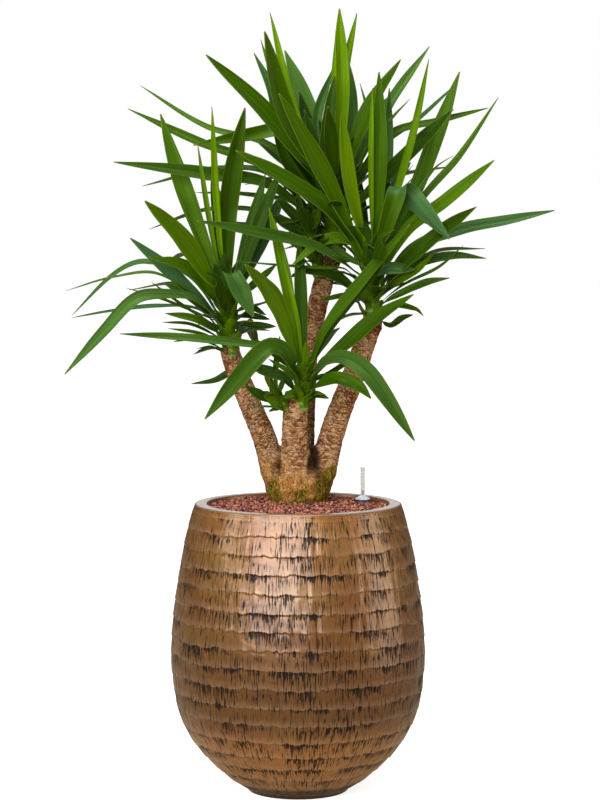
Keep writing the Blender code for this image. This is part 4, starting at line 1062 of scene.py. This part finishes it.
# Inner and small leaves, grown like the others, but joined crown by crown. Same columns.
INNER_LEAVES = {
    "top": (
        (0.95, 18, (0, -1, 0.1), ((-5, 95, 1440), (-60, 110, 1655)), 0.95, 0.0),
        (0.90, 14, (0.1, -1, 0), ((-20, 100, 1430), (-63, 105, 1545), (-80, 108, 1598)), 0.6, 0.2),
        (0.85, 25, (0.2, -1, 0.1), ((-30, 130, 1400), (-60, 150, 1500), (-95, 160, 1572)), 0.25, 0.7),
        (1.00, 13, (0, -1, 0), ((74, 66, 1440), (79, 66, 1600)), 0.85, 0.0),
        (0.90, 22, (0.2, -1, 0.1), ((40, 110, 1420), (76, 140, 1540)), 0.5, 0.6),
        (0.90, 28, (0, -1, 0.1), ((57, 60, 1339), (66, 50, 1430), (78, 46, 1520)), 0.2, 0.1),
        (0.97, 21, (-0.1, -1, 0.1), ((95, 120, 1500), (126, 128, 1655)), 0.9, 0.0),
        (0.90, 28, (-0.2, -1, 0.1), ((112, 130, 1400), (115, 150, 1475), (104, 165, 1570)), 0.45, 0.5),
        (0.60, 10, (-0.2, -1, 0.2), ((125, 120, 1380), (145, 130, 1450), (133, 135, 1507)), 0.6, 0.2),
        (0.60, 10, (-0.3, -1, 0.3), ((150, 110, 1370), (200, 112, 1430), (240, 115, 1472)), 0.6, 0.2),
        (0.55, 14, (-0.3, -0.8, 0.5), ((180, 170, 1370), (262, 190, 1432), (347, 205, 1510)), 0.3, 0.7),
        (0.60, 15, (0, -0.8, 0.6), ((-60, 130, 1370), (-200, 160, 1415), (-342, 190, 1503)), 0.55, 0.2),
        (0.30, 18, (0, -0.7, 0.7), ((-60, 150, 1312), (-180, 165, 1322), (-338, 170, 1286)), 0.35, 0.2),
        (0.50, 26, (0.3, -1, 0.3), ((-20, 70, 1330), (-53, 60, 1406)), 0.2, 0.0),
        (0.80, 22, (0.2, -1, 0.2), ((35, 70, 1380), (13, 66, 1447)), 0.2, 0.1),
        (0.15, 12, (0, -0.8, 0.6), ((0, 120, 1245), (-110, 130, 1268), (-222, 140, 1272)), 0.25, 0.1),
        (0.08, 14, (0, -0.7, 0.7), ((-50, 110, 1225), (-190, 130, 1236), (-322, 140, 1193)), 0.2, 0.1),
        (0.70, 34, (0.3, -1, 0.3), ((20, 150, 1330), (-30, 170, 1400), (-62, 172, 1468)), 0.05, 0.1),
        (0.55, 34, (0.4, -1, 0.3), ((0, 160, 1320), (-60, 180, 1368), (-108, 190, 1402)), 0.08, 0.1),
        (0.80, 34, (0.1, -1, 0.2), ((40, 160, 1330), (20, 170, 1420), (2, 170, 1492)), 0.05, 0.2),
        (0.60, 30, (0.3, -1, 0.2), ((10, 120, 1330), (-25, 130, 1385), (-45, 132, 1440)), 0.04, 0.0),
        (0.20, 32, (0, -0.3, 1), ((110, 260, 1290), (130, 400, 1230)), 0.3, 0.1),
        (0.30, 30, (0.2, -0.3, 1), ((-20, 250, 1300), (-120, 360, 1290)), 0.3, 0.1),
        (0.65, 32, (0.1, -0.6, 1), ((90, 230, 1420), (110, 330, 1520)), 0.35, 0.1),
        (0.75, 30, (-0.2, -0.6, 1), ((160, 200, 1420), (230, 300, 1510)), 0.35, 0.1),
        (0.75, 30, (0.2, -0.6, 1), ((10, 210, 1430), (-50, 320, 1520)), 0.35, 0.1),
        (0.45, 30, (-0.3, -0.4, 1), ((200, 200, 1300), (340, 280, 1330)), 0.3, 0.1),
        (0.40, 30, (0.3, -0.4, 1), ((-70, 200, 1290), (-210, 280, 1300)), 0.3, 0.1),
        (0.10, 28, (0, -0.2, 1), ((60, 220, 1200), (50, 330, 1120)), 0.25, 0.1),
        (0.85, 30, (0, -1, 0.4), ((70, 10, 1380), (62, -50, 1450)), 0.3, 0.0),
    ),
    "right": (
        (0.90, 23, (0, -1, 0.1), ((190, 90, 1330), (196, 130, 1496)), 0.25, 0.5),
        (1.00, 12, (0, -1, 0), ((154, 26, 1330), (157, 34, 1492)), 0.85, 0.0),
        (0.35, 21, (0, -0.9, 0.5),
         ((225, 60, 1092), (262, 60, 1122), (330, 60, 1138), (401, 55, 1132)), 0.2, 0.2),
        (0.20, 18, (0, -0.9, 0.5), ((200, 20, 1050), (270, 15, 1082), (321, 10, 1092)), 0.4, 0.1),
        (0.50, 29, (0, -0.8, 0.7), ((120, 30, 1163), (60, 20, 1172), (-12, 0, 1120)), 0.75, 0.1),
        (0.75, 37, (0.4, -1, 0.4), ((78, 15, 1225), (-42, 10, 1311), (-131, 0, 1360)), 0.42, 0.0),
        (0.10, 12, (0, -1, 0.5), ((205, 40, 1034), (250, 36, 1025), (267, 34, 1010)), 0.5, 0.0),
        (0.02, 15, (0, -1, 0.5), ((196, 44, 990), (222, 42, 1006), (245, 40, 1013)), 0.5, 0.0),
        (0.70, 9, (-0.3, -0.8, 0.5), ((235, 60, 1240), (290, 66, 1322), (331, 70, 1351)), 0.5, 0.2),
        (0.25, 8, (-0.2, -0.8, 0.5), ((225, 40, 1077), (300, 40, 1115), (351, 40, 1160)), 0.5, 0.1),
        (0.45, 7, (0, -0.8, 0.6),
         ((100, 20, 1110), (60, 14, 1112), (-50, 0, 1120), (-131, -10, 1128)), 0.5, 0.1),
        (0.35, 30, (0.2, -0.9, 0.6), ((70, 30, 1100), (-5, 20, 1108)), 0.2, 0.1),
        (0.15, 14, (0.2, -0.9, 0.6), ((110, 44, 1052), (45, 36, 1043)), 0.25, 0.1),
        (0.70, 26, (0, -1, 0.2), ((190, 0, 1112), (245, -6, 1110)), 0.3, 0.9),
        (0.45, 16, (-0.3, -1, 0.4), ((245, 10, 1104), (290, 8, 1148)), 0.75, 0.0),
        (0.60, 8, (-0.3, -0.8, 0.4), ((200, 40, 1270), (245, 46, 1332)), 0.5, 0.1),
        (0.60, 8, (-0.3, -0.8, 0.4), ((205, 50, 1250), (247, 54, 1308)), 0.5, 0.1),
        (0.30, 32, (-0.2, -0.3, 1), ((170, 220, 1120), (190, 340, 1060)), 0.3, 0.1),
        (0.60, 32, (-0.2, -0.4, 1), ((200, 200, 1260), (250, 320, 1340)), 0.3, 0.1),
        (0.70, 30, (0.1, -0.5, 1), ((130, 190, 1270), (110, 300, 1360)), 0.3, 0.1),
        (0.35, 30, (-0.4, -0.3, 1), ((290, 170, 1140), (410, 220, 1150)), 0.3, 0.1),
        (0.20, 28, (0, -0.2, 1), ((120, 190, 1060), (100, 290, 1010)), 0.25, 0.1),
        (0.50, 30, (0, -1, 0.5), ((178, -90, 1172), (196, -180, 1196)), 0.35, 0.0),
    ),
    "left": (
        (1.00, 15, (0.1, -1, 0.1), ((-172, 20, 1250), (-181, 10, 1452)), 0.95, 0.0),
        (0.95, 12, (0.2, -1, 0.1), ((-190, 15, 1230), (-211, 0, 1374)), 0.8, 0.1),
        (0.90, 28, (-0.2, -1, 0.1), ((-105, 60, 1180), (-70, 70, 1310)), 0.2, 0.2),
        (0.80, 29, (-0.3, -1, 0.2), ((-80, 90, 1160), (-22, 110, 1295)), 0.2, 0.6),
        (0.30, 14, (0, -0.6, 0.9),
         ((-210, 60, 1022), (-300, 95, 1029), (-400, 110, 1018), (-489, 110, 1003)), 0.2, 0.9),
        (0.60, 9, (0, -0.6, 0.8), ((-293, 0, 1100), (-390, -10, 1094), (-490, -20, 1065)), 0.5, 0.2),
        (0.45, 25, (0.3, -1, 0.5), ((-220, 50, 1045), (-287, 60, 1080)), 0.2, 0.1),
        (0.30, 18, (0.1, -1, 0.5), ((-215, -20, 1006), (-279, -30, 1019)), 0.5, 0.0),
        (0.50, 7, (0.1, -1, 0.5), ((-280, 10, 1045), (-363, 4, 1071)), 0.5, 0.1),
        (0.40, 7, (0.1, -1, 0.5), ((-240, 20, 1031), (-312, 20, 1084)), 0.5, 0.1),
        (0.25, 8, (0.1, -1, 0.5), ((-225, 20, 993), (-289, 16, 998)), 0.4, 0.1),
        (0.15, 8, (0.1, -1, 0.5), ((-200, 20, 972), (-276, 16, 985)), 0.4, 0.0),
        (0.10, 8, (0.1, -1, 0.5), ((-210, 30, 961), (-266, 30, 956)), 0.4, 0.0),
        (0.05, 6, (0.1, -1, 0.5), ((-165, 20, 938), (-185, 10, 946), (-213, 0, 943)), 0.5, 0.0),
        (0.50, 16, (-0.2, -1, 0.3), ((-95, 50, 990), (-47, 50, 987)), 0.2, 0.1),
        (0.60, 14, (-0.2, -1, 0.3), ((-100, 55, 1010), (-60, 60, 1002)), 0.2, 0.1),
        (0.65, 14, (-0.2, -1, 0.3), ((-105, 40, 1030), (-68, 40, 1012)), 0.3, 0.1),
        (0.80, 18, (-0.3, -1, 0.3), ((-90, 60, 1080), (-45, 66, 1120)), 0.25, 0.1),
        (0.30, 30, (0.1, -0.3, 1), ((-160, 200, 1040), (-170, 310, 1000)), 0.3, 0.1),
        (0.80, 32, (0.1, -0.6, 1), ((-170, 170, 1210), (-190, 260, 1320)), 0.3, 0.1),
        (0.75, 30, (-0.2, -0.6, 1), ((-90, 170, 1180), (-40, 260, 1260)), 0.3, 0.1),
        (0.40, 30, (0.4, -0.3, 1), ((-260, 150, 1070), (-370, 200, 1060)), 0.3, 0.1),
        (0.20, 28, (0, -0.2, 1), ((-110, 180, 980), (-90, 270, 930)), 0.25, 0.1),
        (0.50, 28, (0.1, -1, 0.5), ((-170, -70, 1085), (-190, -145, 1108)), 0.35, 0.0),
    ),
    "front": (
        (1.00, 26, (0.2, -1, 0.1), ((-10, -44, 1000), (-28, -20, 1100), (-61, 15, 1240)), 0.66, 0.0),
        (0.95, 9, (0.1, -1, 0.1), ((0, -60, 1000), (-30, -50, 1130)), 1.0, 0.0),
        (0.95, 27, (0, -1, 0.1), ((10, -40, 980), (6, -10, 1060), (2, 25, 1175)), 0.25, 0.1),
        (0.80, 19, (-0.5, -1, 0.3),
         ((60, -50, 975), (100, -36, 1030), (130, -30, 1065), (175, -20, 1110)), 0.25, 0.1),
        (0.45, 31, (-0.1, -1, 0.6), ((76, -84, 886), (124, -100, 872), (152, -106, 845)), 0.5, 0.0),
        (0.60, 13, (-0.4, -1, 0.4), ((90, -40, 908), (132, -40, 947)), 0.4, 0.0),
        (0.10, 16, (0, -1, 0.5), ((35, -40, 848), (65, -46, 841)), 0.4, 0.0),
        (0.50, 14, (0.3, -1, 0.3), ((-5, -50, 900), (-62, -50, 938)), 0.4, 0.0),
        (0.35, 20, (0.2, -1, 0.4), ((-30, -60, 885), (-85, -70, 897)), 0.2, 0.2),
        (0.45, 12, (0.2, -1, 0.4), ((-10, -60, 890), (-62, -60, 925)), 0.5, 0.0),
        (0.20, 18, (0, -1, 0.4), ((-8, -46, 852), (-30, -52, 842)), 0.6, 0.0),
        (0.60, 21, (0, -0.9, 0.5),
         ((-70, 60, 896), (-143, 110, 886), (-180, 110, 868), (-230, 105, 861)), 0.3, 0.2),
        (0.85, 26, (-0.2, -0.4, 1), ((60, 60, 960), (90, 150, 980)), 0.3, 0.1),
    ),
    "front_side": (
        (1.00, 13, (0, -1, 0), ((-47, -40, 900), (-38, -36, 972)), 0.3, 0.1),
        (0.30, 14, (0.2, -1, 0.3), ((-45, -50, 826), (-72, -60, 849)), 0.75, 0.1),
        (0.80, 14, (0.2, -1, 0.2), ((-56, -30, 870), (-72, -26, 905)), 0.3, 0.1),
        (0.90, 12, (0.1, -1, 0.2), ((-48, -50, 865), (-46, -54, 888)), 0.6, 0.1),
        (0.90, 12, (-0.1, -1, 0.2), ((-38, -50, 860), (-28, -52, 886)), 0.5, 0.1),
        (0.20, 5, (0, -1, 0.5), ((-55, -30, 822), (-95, -36, 823)), 0.6, 0.9),
    ),
    "rear_left": (
        (0.90, 24, (0.3, -1, 0.3), ((-10, 50, 1225), (-45, 30, 1258)), 0.2, 0.1),
        (0.80, 26, (0.3, -1, 0.3), ((-15, 70, 1200), (-55, 60, 1222)), 0.2, 0.1),
        (1.00, 24, (0.1, -1, 0.2), ((10, 60, 1235), (-3, 50, 1268)), 0.2, 0.1),
        (0.95, 22, (-0.1, -1, 0.2), ((36, 40, 1215), (44, 30, 1240)), 0.3, 0.0),
        (0.50, 28, (0.2, -0.5, 1), ((10, 170, 1230), (0, 260, 1250)), 0.25, 0.1),
        (0.35, 22, (0, -0.8, 0.6), ((34, 36, 1175), (74, 16, 1152), (142, 0, 1114)), 0.15, 0.1),
        (0.40, 28, (0.4, -0.5, 0.9), ((-60, 130, 1190), (-150, 170, 1210)), 0.25, 0.1),
        (0.30, 28, (-0.1, -0.3, 1), ((60, 190, 1170), (80, 270, 1150)), 0.25, 0.1),
    ),
}
# Leaves that fill each crown's heart: how many, their shortest and longest length in mm, how young,
# how many degrees the lowest ones rise, and how slim they are
HEART_LEAVES = {
    "top": (30, 110, 160, 0.1, -8, 1.0), "right": (18, 80, 130, 0.25, -4, 1.0),
    "left": (20, 75, 125, 0.22, -8, 1.0), "rear_left": (14, 60, 115, 0.08, -8, 1.0),
    "front": (12, 45, 85, 0.75, 22, 0.6), "front_side": (5, 28, 45, 0.7, 30, 0.7),
}
SHEATHS = {"left": 16, "right": 16, "top": 14, "rear_left": 10, "front": 14, "front_side": 8}
# shares of each folded leaf between which its waxy underside shows
FOLDS = {"right_leaf_folded": (0.46, 1.1), "top_leaf_folded": (0.30, 0.60)}


def leaf_width(share):
    """Width along a blade, of its greatest: narrow foot, widest past the middle, long taper."""
    width = LEAF_FOOT_WIDTH + (1 - LEAF_FOOT_WIDTH) * smooth_step(0, LEAF_WIDEST, share)
    if share > LEAF_WIDEST:
        width *= 1 - ((share - LEAF_WIDEST) / (1 - LEAF_WIDEST)) ** 2.3
    return max(width, 0.05)


def model_blade(rows, soft):
    """One flat blade, a unit long and a unit wide: a grid drawn in row by row, channelled down the
    middle, then smoothed and given its thickness. Every leaf is a copy of one."""
    bpy.ops.mesh.primitive_grid_add(x_subdivisions=4, y_subdivisions=rows, size=1.0, location=(0, 0.5, 0))
    blade = bpy.context.object
    bpy.ops.object.transform_apply(location=True, rotation=False, scale=False)
    bpy.ops.object.mode_set(mode="EDIT")
    for row in range(rows + 1):
        share = row / rows
        bpy.ops.mesh.select_all(action="DESELECT")
        bpy.ops.object.mode_set(mode="OBJECT")
        for vert in blade.data.vertices:
            vert.select = abs(vert.co.y - share) < 0.2 / rows
        bpy.ops.object.mode_set(mode="EDIT")
        bpy.ops.transform.resize(value=(leaf_width(share), 1, 1), center_override=(0, share, 0))
    bpy.ops.object.mode_set(mode="OBJECT")
    co = corners(blade)
    half = np.array([leaf_width(share) for share in co[:, 1]]) / 2
    out = np.abs(co[:, 0]) / half
    depth = 0.15 * (1 - smooth_step(0.0, 0.5, co[:, 1])) + 0.16
    co[:, 2] = depth * (out ** 1.3 - 0.45) * half * 2
    move_corners(blade, co)
    if soft:
        apply_modifier(blade, "SUBSURF", levels=1, render_levels=1)
    for key in LEAF_SIDES:
        blade.data.materials.append(MATERIALS[key])
    apply_modifier(blade, "SOLIDIFY", thickness=0.04, offset=0, material_offset=1, material_offset_rim=0)
    bpy.ops.object.shade_smooth_by_angle(angle=math.radians(40))
    return blade


def shoot_axes(shoot):
    """A shoot's foot and heart, mm, its axis, and two ways out of it at right angles."""
    foot, heart = Vector(SHOOTS[shoot][0]), Vector(SHOOTS[shoot][1])
    axis = (heart - foot).normalized()
    side = axis.cross(Vector((0, 1, 0))).normalized()
    return foot, heart, axis, side, axis.cross(side)


def shoot_radius(shoot, along):
    """Radius of a shoot at a share of its length."""
    foot_r, heart_r = SHOOTS[shoot][2:]
    return (foot_r + (heart_r - foot_r) * along) * MM


def leaf_foot(shoot, along, first):
    """Centre of the blade's foot on the shoot's skin, and the way out of the shoot there."""
    foot, heart, axis, _, _ = shoot_axes(shoot)
    centre = foot.lerp(heart, along) * MM
    towards = first - centre
    outward = (towards - axis * towards.dot(axis)).normalized()
    return centre + outward * shoot_radius(shoot, along), outward


def facing_at(facings, points, share):
    """Facing at a share of the blade: constant, or changing from point to point past the foot."""
    lengths = [(after - before).length for before, after in zip(points, points[1:])]
    place = share * sum(lengths) - lengths[0]
    if place <= 0 or len(facings) == 2:
        return facings[0].normalized()
    index = 0
    while index < len(facings) - 2 and place > lengths[index + 1]:
        place -= lengths[index + 1]
        index += 1
    return facings[index].lerp(facings[index + 1], min(place / lengths[index + 1], 1)).normalized()


def lay_leaf(blade, name, points, outward, width, facings, youth, bloom, lot, folded_at=None):
    """Copies the blade and bends it along its path, turning its upper side as the leaf twists."""
    shares = np.linspace(0, 1, 61)
    centres, ups, sides = [], [], []
    for share in shares:
        centre = smooth_path(points, share)
        tangent = smooth_path(points, min(share + 0.01, 1)) - smooth_path(points, max(share - 0.01, 0))
        tangent.normalize()
        face = (-outward).lerp(facing_at(facings, points, share), smooth_step(0, TWIST_END, share))
        face = (face - tangent * face.dot(tangent)).normalized()
        centres.append(centre)
        ups.append(face)
        sides.append(tangent.cross(face))
    leaf = place_piece(name, blade.data.copy())
    co = corners(leaf)
    place = np.clip(co[:, 1], 0, 1)

    def along_leaf(rows):
        """What these rows, one for each share of the path, come to at each corner of the blade."""
        rows = np.array(rows)
        return np.column_stack([np.interp(place, shares, rows[:, k]) for k in range(3)])

    centre, up, side = along_leaf(centres), along_leaf(ups), along_leaf(sides)
    # margins are gently wavy, each leaf in its own way
    wave = np.sin(math.tau * (place * (1.5 + 1.7 * scatter([lot, 1])) + scatter([lot, 2])))
    ripple = 0.10 * np.abs(co[:, 0]) * np.sign(co[:, 0] + 0.01) * wave * smooth_step(0.15, 0.5, place)
    lift = co[:, 2] + ripple
    move_corners(leaf, centre + side * (co[:, 0:1] * width) + up * (lift[:, None] * width))
    count = len(co)
    # the underside of a folded leaf carries the bloom
    waxed = 1.0
    if folded_at:
        start, end = folded_at
        waxed = smooth_step(start - 0.02, start + 0.03, place) * smooth_step(end + 0.06, end, place)
    keep_number(leaf, "youth", np.full(count, youth))
    keep_number(leaf, "bloom", np.full(count, bloom) * waxed)
    keep_number(leaf, "lot", np.full(count, lot))
    keep_number(leaf, "broad", np.full(count, width))
    return leaf


def grow_leaf(blade, name, shoot, along, width, facing, path, youth, bloom, lot, folded_at=None):
    """A leaf from one row of the tables, in mm, with its foot on the skin of its shoot."""
    points = [Vector(point) * MM for point in path]
    foot, outward = leaf_foot(shoot, along, points[0])
    points.insert(0, foot)
    facings = [Vector(way) for way in facing] if isinstance(facing[0], tuple) else [Vector(facing)] * 2
    return lay_leaf(blade, name, points, outward, width * MM, facings, youth, bloom, lot, folded_at)


def join(pieces):
    """Joins the pieces into the first of them."""
    only(pieces[0])
    for piece in pieces[1:]:
        piece.select_set(True)
    bpy.ops.object.join()
    return pieces[0]


def model_sheaths(blade, shoot, count, lot):
    """Short clasping leaf bases wound up the shoot, each half over the next."""
    foot, heart, axis, side, front = shoot_axes(shoot)
    made = []
    for i in range(count):
        along = (i + 0.3) / count * 0.86
        turn = i * GOLDEN_ANGLE
        out = side * math.cos(turn) + front * math.sin(turn)
        radius = shoot_radius(shoot, along)
        length = (34 + 26 * scatter([lot, i])) * MM
        base = foot.lerp(heart, along) * MM
        points = [base + out * radius * 0.92, base + out * (radius + 2.5 * MM) + axis * length * 0.4,
                  base + out * (radius + 7 * MM + length * 0.16) + axis * length]
        made.append(lay_leaf(blade, "sheath", points, out, radius * 2.1, [-out, -out],
                             0.62 + 0.3 * scatter([lot, i, 3]), 0.0, lot + i * 0.7))
    return made


def grow_heart(blade, shoot, count, shortest, longest, youth, lowest, slim, lot):
    """Leaves wound round the shoot at the golden angle, hanging low down and upright at the top."""
    foot, heart, axis, side, front = shoot_axes(shoot)
    made = []
    for i in range(count):
        along = 0.12 + 0.85 * i / (count - 1)
        chance = scatter([[lot, i, 1], [lot, i, 2], [lot, i, 3], [lot, i, 4]])
        turn = i * GOLDEN_ANGLE + chance[0] * 0.4
        out = side * math.cos(turn) + front * math.sin(turn)
        rise = math.radians(lowest + (76 - lowest) * along + 16 * (chance[1] - 0.5))
        length = shortest + (longest - shortest) * chance[2]
        way = out * math.cos(rise) + axis * math.sin(rise)
        start = foot.lerp(heart, along)
        middle = start + way * length * 0.55
        end = start + way * length - Vector((0, 0, 1)) * length * 0.14 * math.cos(rise)
        face = -out * math.sin(rise) + axis * math.cos(rise)
        made.append(grow_leaf(blade, "heart", shoot, along, (20 + 0.06 * length) * slim, face, (middle, end),
                              youth + 0.22 * chance[3], 0.15 * chance[1], lot + i))
    return made


def model_leaves():
    """All leaves. Each has its own lot, which sets its waves and the place of its streaks."""
    blade = model_blade(20, True)
    plain = model_blade(12, False)
    lot = 1.0
    for name, row in SEEN_LEAVES.items():
        leaf = grow_leaf(blade, name, *row, lot, FOLDS.get(name))
        finish_piece(leaf, "blade_" + name, LEAF_SIDES, stands_for=[name])
        lot += 1.3
    for shoot, rows in INNER_LEAVES.items():
        made = []
        for row in rows:
            made.append(grow_leaf(blade, "inner", shoot, *row, lot))
            lot += 1.3
        made += grow_heart(plain, shoot, *HEART_LEAVES[shoot], lot)
        lot += 31.7
        crown = join(made)
        finish_piece(crown, shoot + "_crown_inner_leaves", LEAF_SIDES)
    for shoot, count in SHEATHS.items():
        sheaths = join(model_sheaths(plain, shoot, count, lot))
        finish_piece(sheaths, shoot + "_shoot_leaf_bases", LEAF_SIDES)
        lot += 9.1
    bpy.data.objects.remove(blade)
    bpy.data.objects.remove(plain)


# ---------------------------------------------------------------- water gauge

# radius and height down the collar's cone and skirt and back up inside, mm
COLLAR = ((2.8, 609), (2.8, 624), (6.0, 624), (6.6, 623.6), (7.0, 622.4), (9.4, 620.8), (13.2, 618.8),
          (15.9, 617.0), (16.5, 615.8), (16.5, 614.8), (15.7, 614.4), (15.7, 612), (16.3, 611.6),
          (16.3, 596), (13.5, 596), (13.5, 609), (2.8, 609))
SKIRT_TOP = 614.5 * MM          # the collar is dark below this
SIGHT_TUBE_R = 5.15 * MM
FRAME_MARK_Z = 669 * MM
WEDGE_MARK_Z = 648 * MM


def model_gauge():
    """Collar and marks of the level gauge. The tubes, float and rod keep their CAD shapes."""
    collar = spin_profile("collar", [(radius * MM, height * MM) for radius, height in COLLAR], 48)
    co = corners(collar)
    co[:, :2] += GAUGE_XY
    move_corners(collar, co)
    finish_piece(collar, "gauge_collar_cone", ["white_abs", "grey_abs"],
                 stands_for=["gauge_collar"])
    for face in collar.data.polygons:
        face.material_index = 1 if face.center.z < SKIRT_TOP else 0

    # two printed marks on the front of the tube: a small frame and a wedge
    front = GAUGE_XY[1] - SIGHT_TUBE_R
    upright = (math.radians(90), 0, 0)
    bpy.ops.mesh.primitive_plane_add(size=3.4 * MM, location=(GAUGE_XY[0], front, FRAME_MARK_Z),
                                     rotation=upright)
    frame_mark = bpy.context.object
    bpy.ops.object.mode_set(mode="EDIT")
    bpy.ops.mesh.select_all(action="SELECT")
    bpy.ops.mesh.inset(thickness=1.0 * MM)
    bpy.ops.mesh.delete(type="FACE")
    bpy.ops.object.mode_set(mode="OBJECT")
    bpy.ops.mesh.primitive_circle_add(vertices=3, radius=2.4 * MM, fill_type="NGON",
                                      location=(GAUGE_XY[0], front, WEDGE_MARK_Z), rotation=upright)
    marks = join([frame_mark, bpy.context.object])
    bpy.ops.object.mode_set(mode="EDIT")
    bpy.ops.mesh.select_all(action="SELECT")
    bpy.ops.mesh.subdivide(number_cuts=2)
    bpy.ops.object.mode_set(mode="OBJECT")
    bpy.ops.object.transform_apply(location=True, rotation=True, scale=True)
    # wrapped round the tube, a tenth of a millimetre off it
    co = corners(marks)
    sideways = np.clip(co[:, 0] - GAUGE_XY[0], -5 * MM, 5 * MM)
    co[:, 1] = GAUGE_XY[1] - np.sqrt((SIGHT_TUBE_R + 0.1 * MM) ** 2 - sideways ** 2)
    move_corners(marks, co)
    apply_modifier(marks, "SOLIDIFY", thickness=0.25 * MM, offset=0)
    finish_piece(marks, "gauge_marks", ["ink"])


def finish_cad_nodes():
    """Materials for the CAD nodes that stay as they are."""
    kept = {
        "root_ball": "roots", "gauge_guide_tube": "grey_abs", "gauge_foot_cap": "grey_abs",
        "gauge_sight_tube": "acrylic", "gauge_top_plug": "white_abs", "gauge_float": "foam",
        "gauge_rod": "wire", "gauge_pointer": "red",
    }
    kept.update({f"{shoot}_shoot": "stem" for shoot in SHOOTS})
    for node, key in kept.items():
        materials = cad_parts[node].data.materials
        materials.clear()
        materials.append(MATERIALS[key])


# ---------------------------------------------------------------- studio

def set_up_studio():
    """White paper floor, a backdrop that stays white, and five soft boxes."""
    bpy.ops.mesh.primitive_plane_add(size=60.0, location=(0, 0, -0.0005))
    floor = bpy.context.object
    floor.name = "studio_floor"
    made, tree, shader = new_material("pale_studio_floor")
    # matt white paper that stays even to the horizon, and throws light up at the planter's foot only
    seen = add_node(tree, "LightPath").outputs["Is Camera Ray"]
    paper = add_node(tree, "Mix", {0: seen, 6: (0.55, 0.45, 0.33, 1), 7: (0.85, 0.85, 0.85, 1)},
                     data_type="RGBA").outputs[2]
    warmth = add_node(tree, "Mix", {0: seen, 6: (1, 0.78, 0.52, 1), 7: (1, 1, 1, 1)},
                      data_type="RGBA").outputs[2]
    place = add_node(tree, "TexCoord").outputs["Object"]
    # metres from the planter's axis
    away = add_node(tree, "VectorMath", {0: place}, operation="LENGTH").outputs["Value"]
    thrown = add_node(tree, "MapRange", {"Value": away, 1: 0.30, 2: 0.7, 3: 0.22, 4: 0.0}).outputs[0]
    glow = add_node(tree, "Mix", {0: seen, 2: thrown, 3: 0.8}, data_type="FLOAT").outputs[0]
    fill_sockets(tree, shader, {"Base Color": paper, "Roughness": 0.95, "Specular IOR Level": 0.0,
                                "Emission Color": warmth, "Emission Strength": glow})
    floor.data.materials.append(made)

    world = bpy.data.worlds.new("studio")
    bpy.context.scene.world = world
    world.use_nodes = True
    tree = world.node_tree
    tree.nodes.clear()
    seen = add_node(tree, "LightPath").outputs["Is Camera Ray"]
    way = add_node(tree, "TexCoord").outputs["Generated"]
    rise = add_node(tree, "SeparateXYZ", {0: way}).outputs[2]
    strength = add_node(tree, "MapRange", {"Value": rise, 1: 0.0, 2: 0.9, 3: 0.03, 4: 0.44}).outputs[0]
    backdrop = add_node(tree, "Background", {"Color": (1, 1, 1, 1), "Strength": 1.0})
    soft = add_node(tree, "Background", {"Color": (1.0, 0.985, 0.96, 1), "Strength": strength})
    mixed = add_node(tree, "MixShader", {0: seen, 1: soft.outputs[0], 2: backdrop.outputs[0]})
    add_node(tree, "OutputWorld", {"Surface": mixed.outputs[0]})

    def soft_box(name, place, towards, width, height, watts, colour=(1, 1, 1)):
        """A rectangular lamp at a place, turned towards another."""
        bpy.ops.object.light_add(type="AREA", location=place)
        lamp = bpy.context.object
        lamp.name = name
        lamp.data.shape = "RECTANGLE"
        lamp.data.size = width
        lamp.data.size_y = height
        lamp.data.energy = watts
        lamp.data.color = colour
        lamp.rotation_euler = (Vector(towards) - Vector(place)).to_track_quat("-Z", "Y").to_euler()

    soft_box("key_front", (-2.3, -6.0, 2.8), (0, 0, 0.6), 7.0, 3.2, 345)
    soft_box("side_left", (-3.4, -1.2, 2.3), (0, 0, 1.0), 1.4, 1.8, 18)
    soft_box("side_right", (3.6, -0.5, 0.9), (0, 0, 0.5), 2.0, 2.0, 28, (1.0, 0.88, 0.72))
    soft_box("top_light", (-0.3, -0.9, 4.2), (0, 0, 1.0), 2.0, 2.0, 90)
    soft_box("back_panel", (0, 6.0, 1.45), (0, 0, 0.6), 1.7, 0.9, 6)
    bpy.context.scene.view_settings.view_transform = "Standard"


set_up_camera()
set_up_studio()
finish_cad_nodes()
model_planter()
model_granules()
model_trunk()
model_leaves()
model_gauge()

bpy.ops.object.select_all(action="DESELECT")
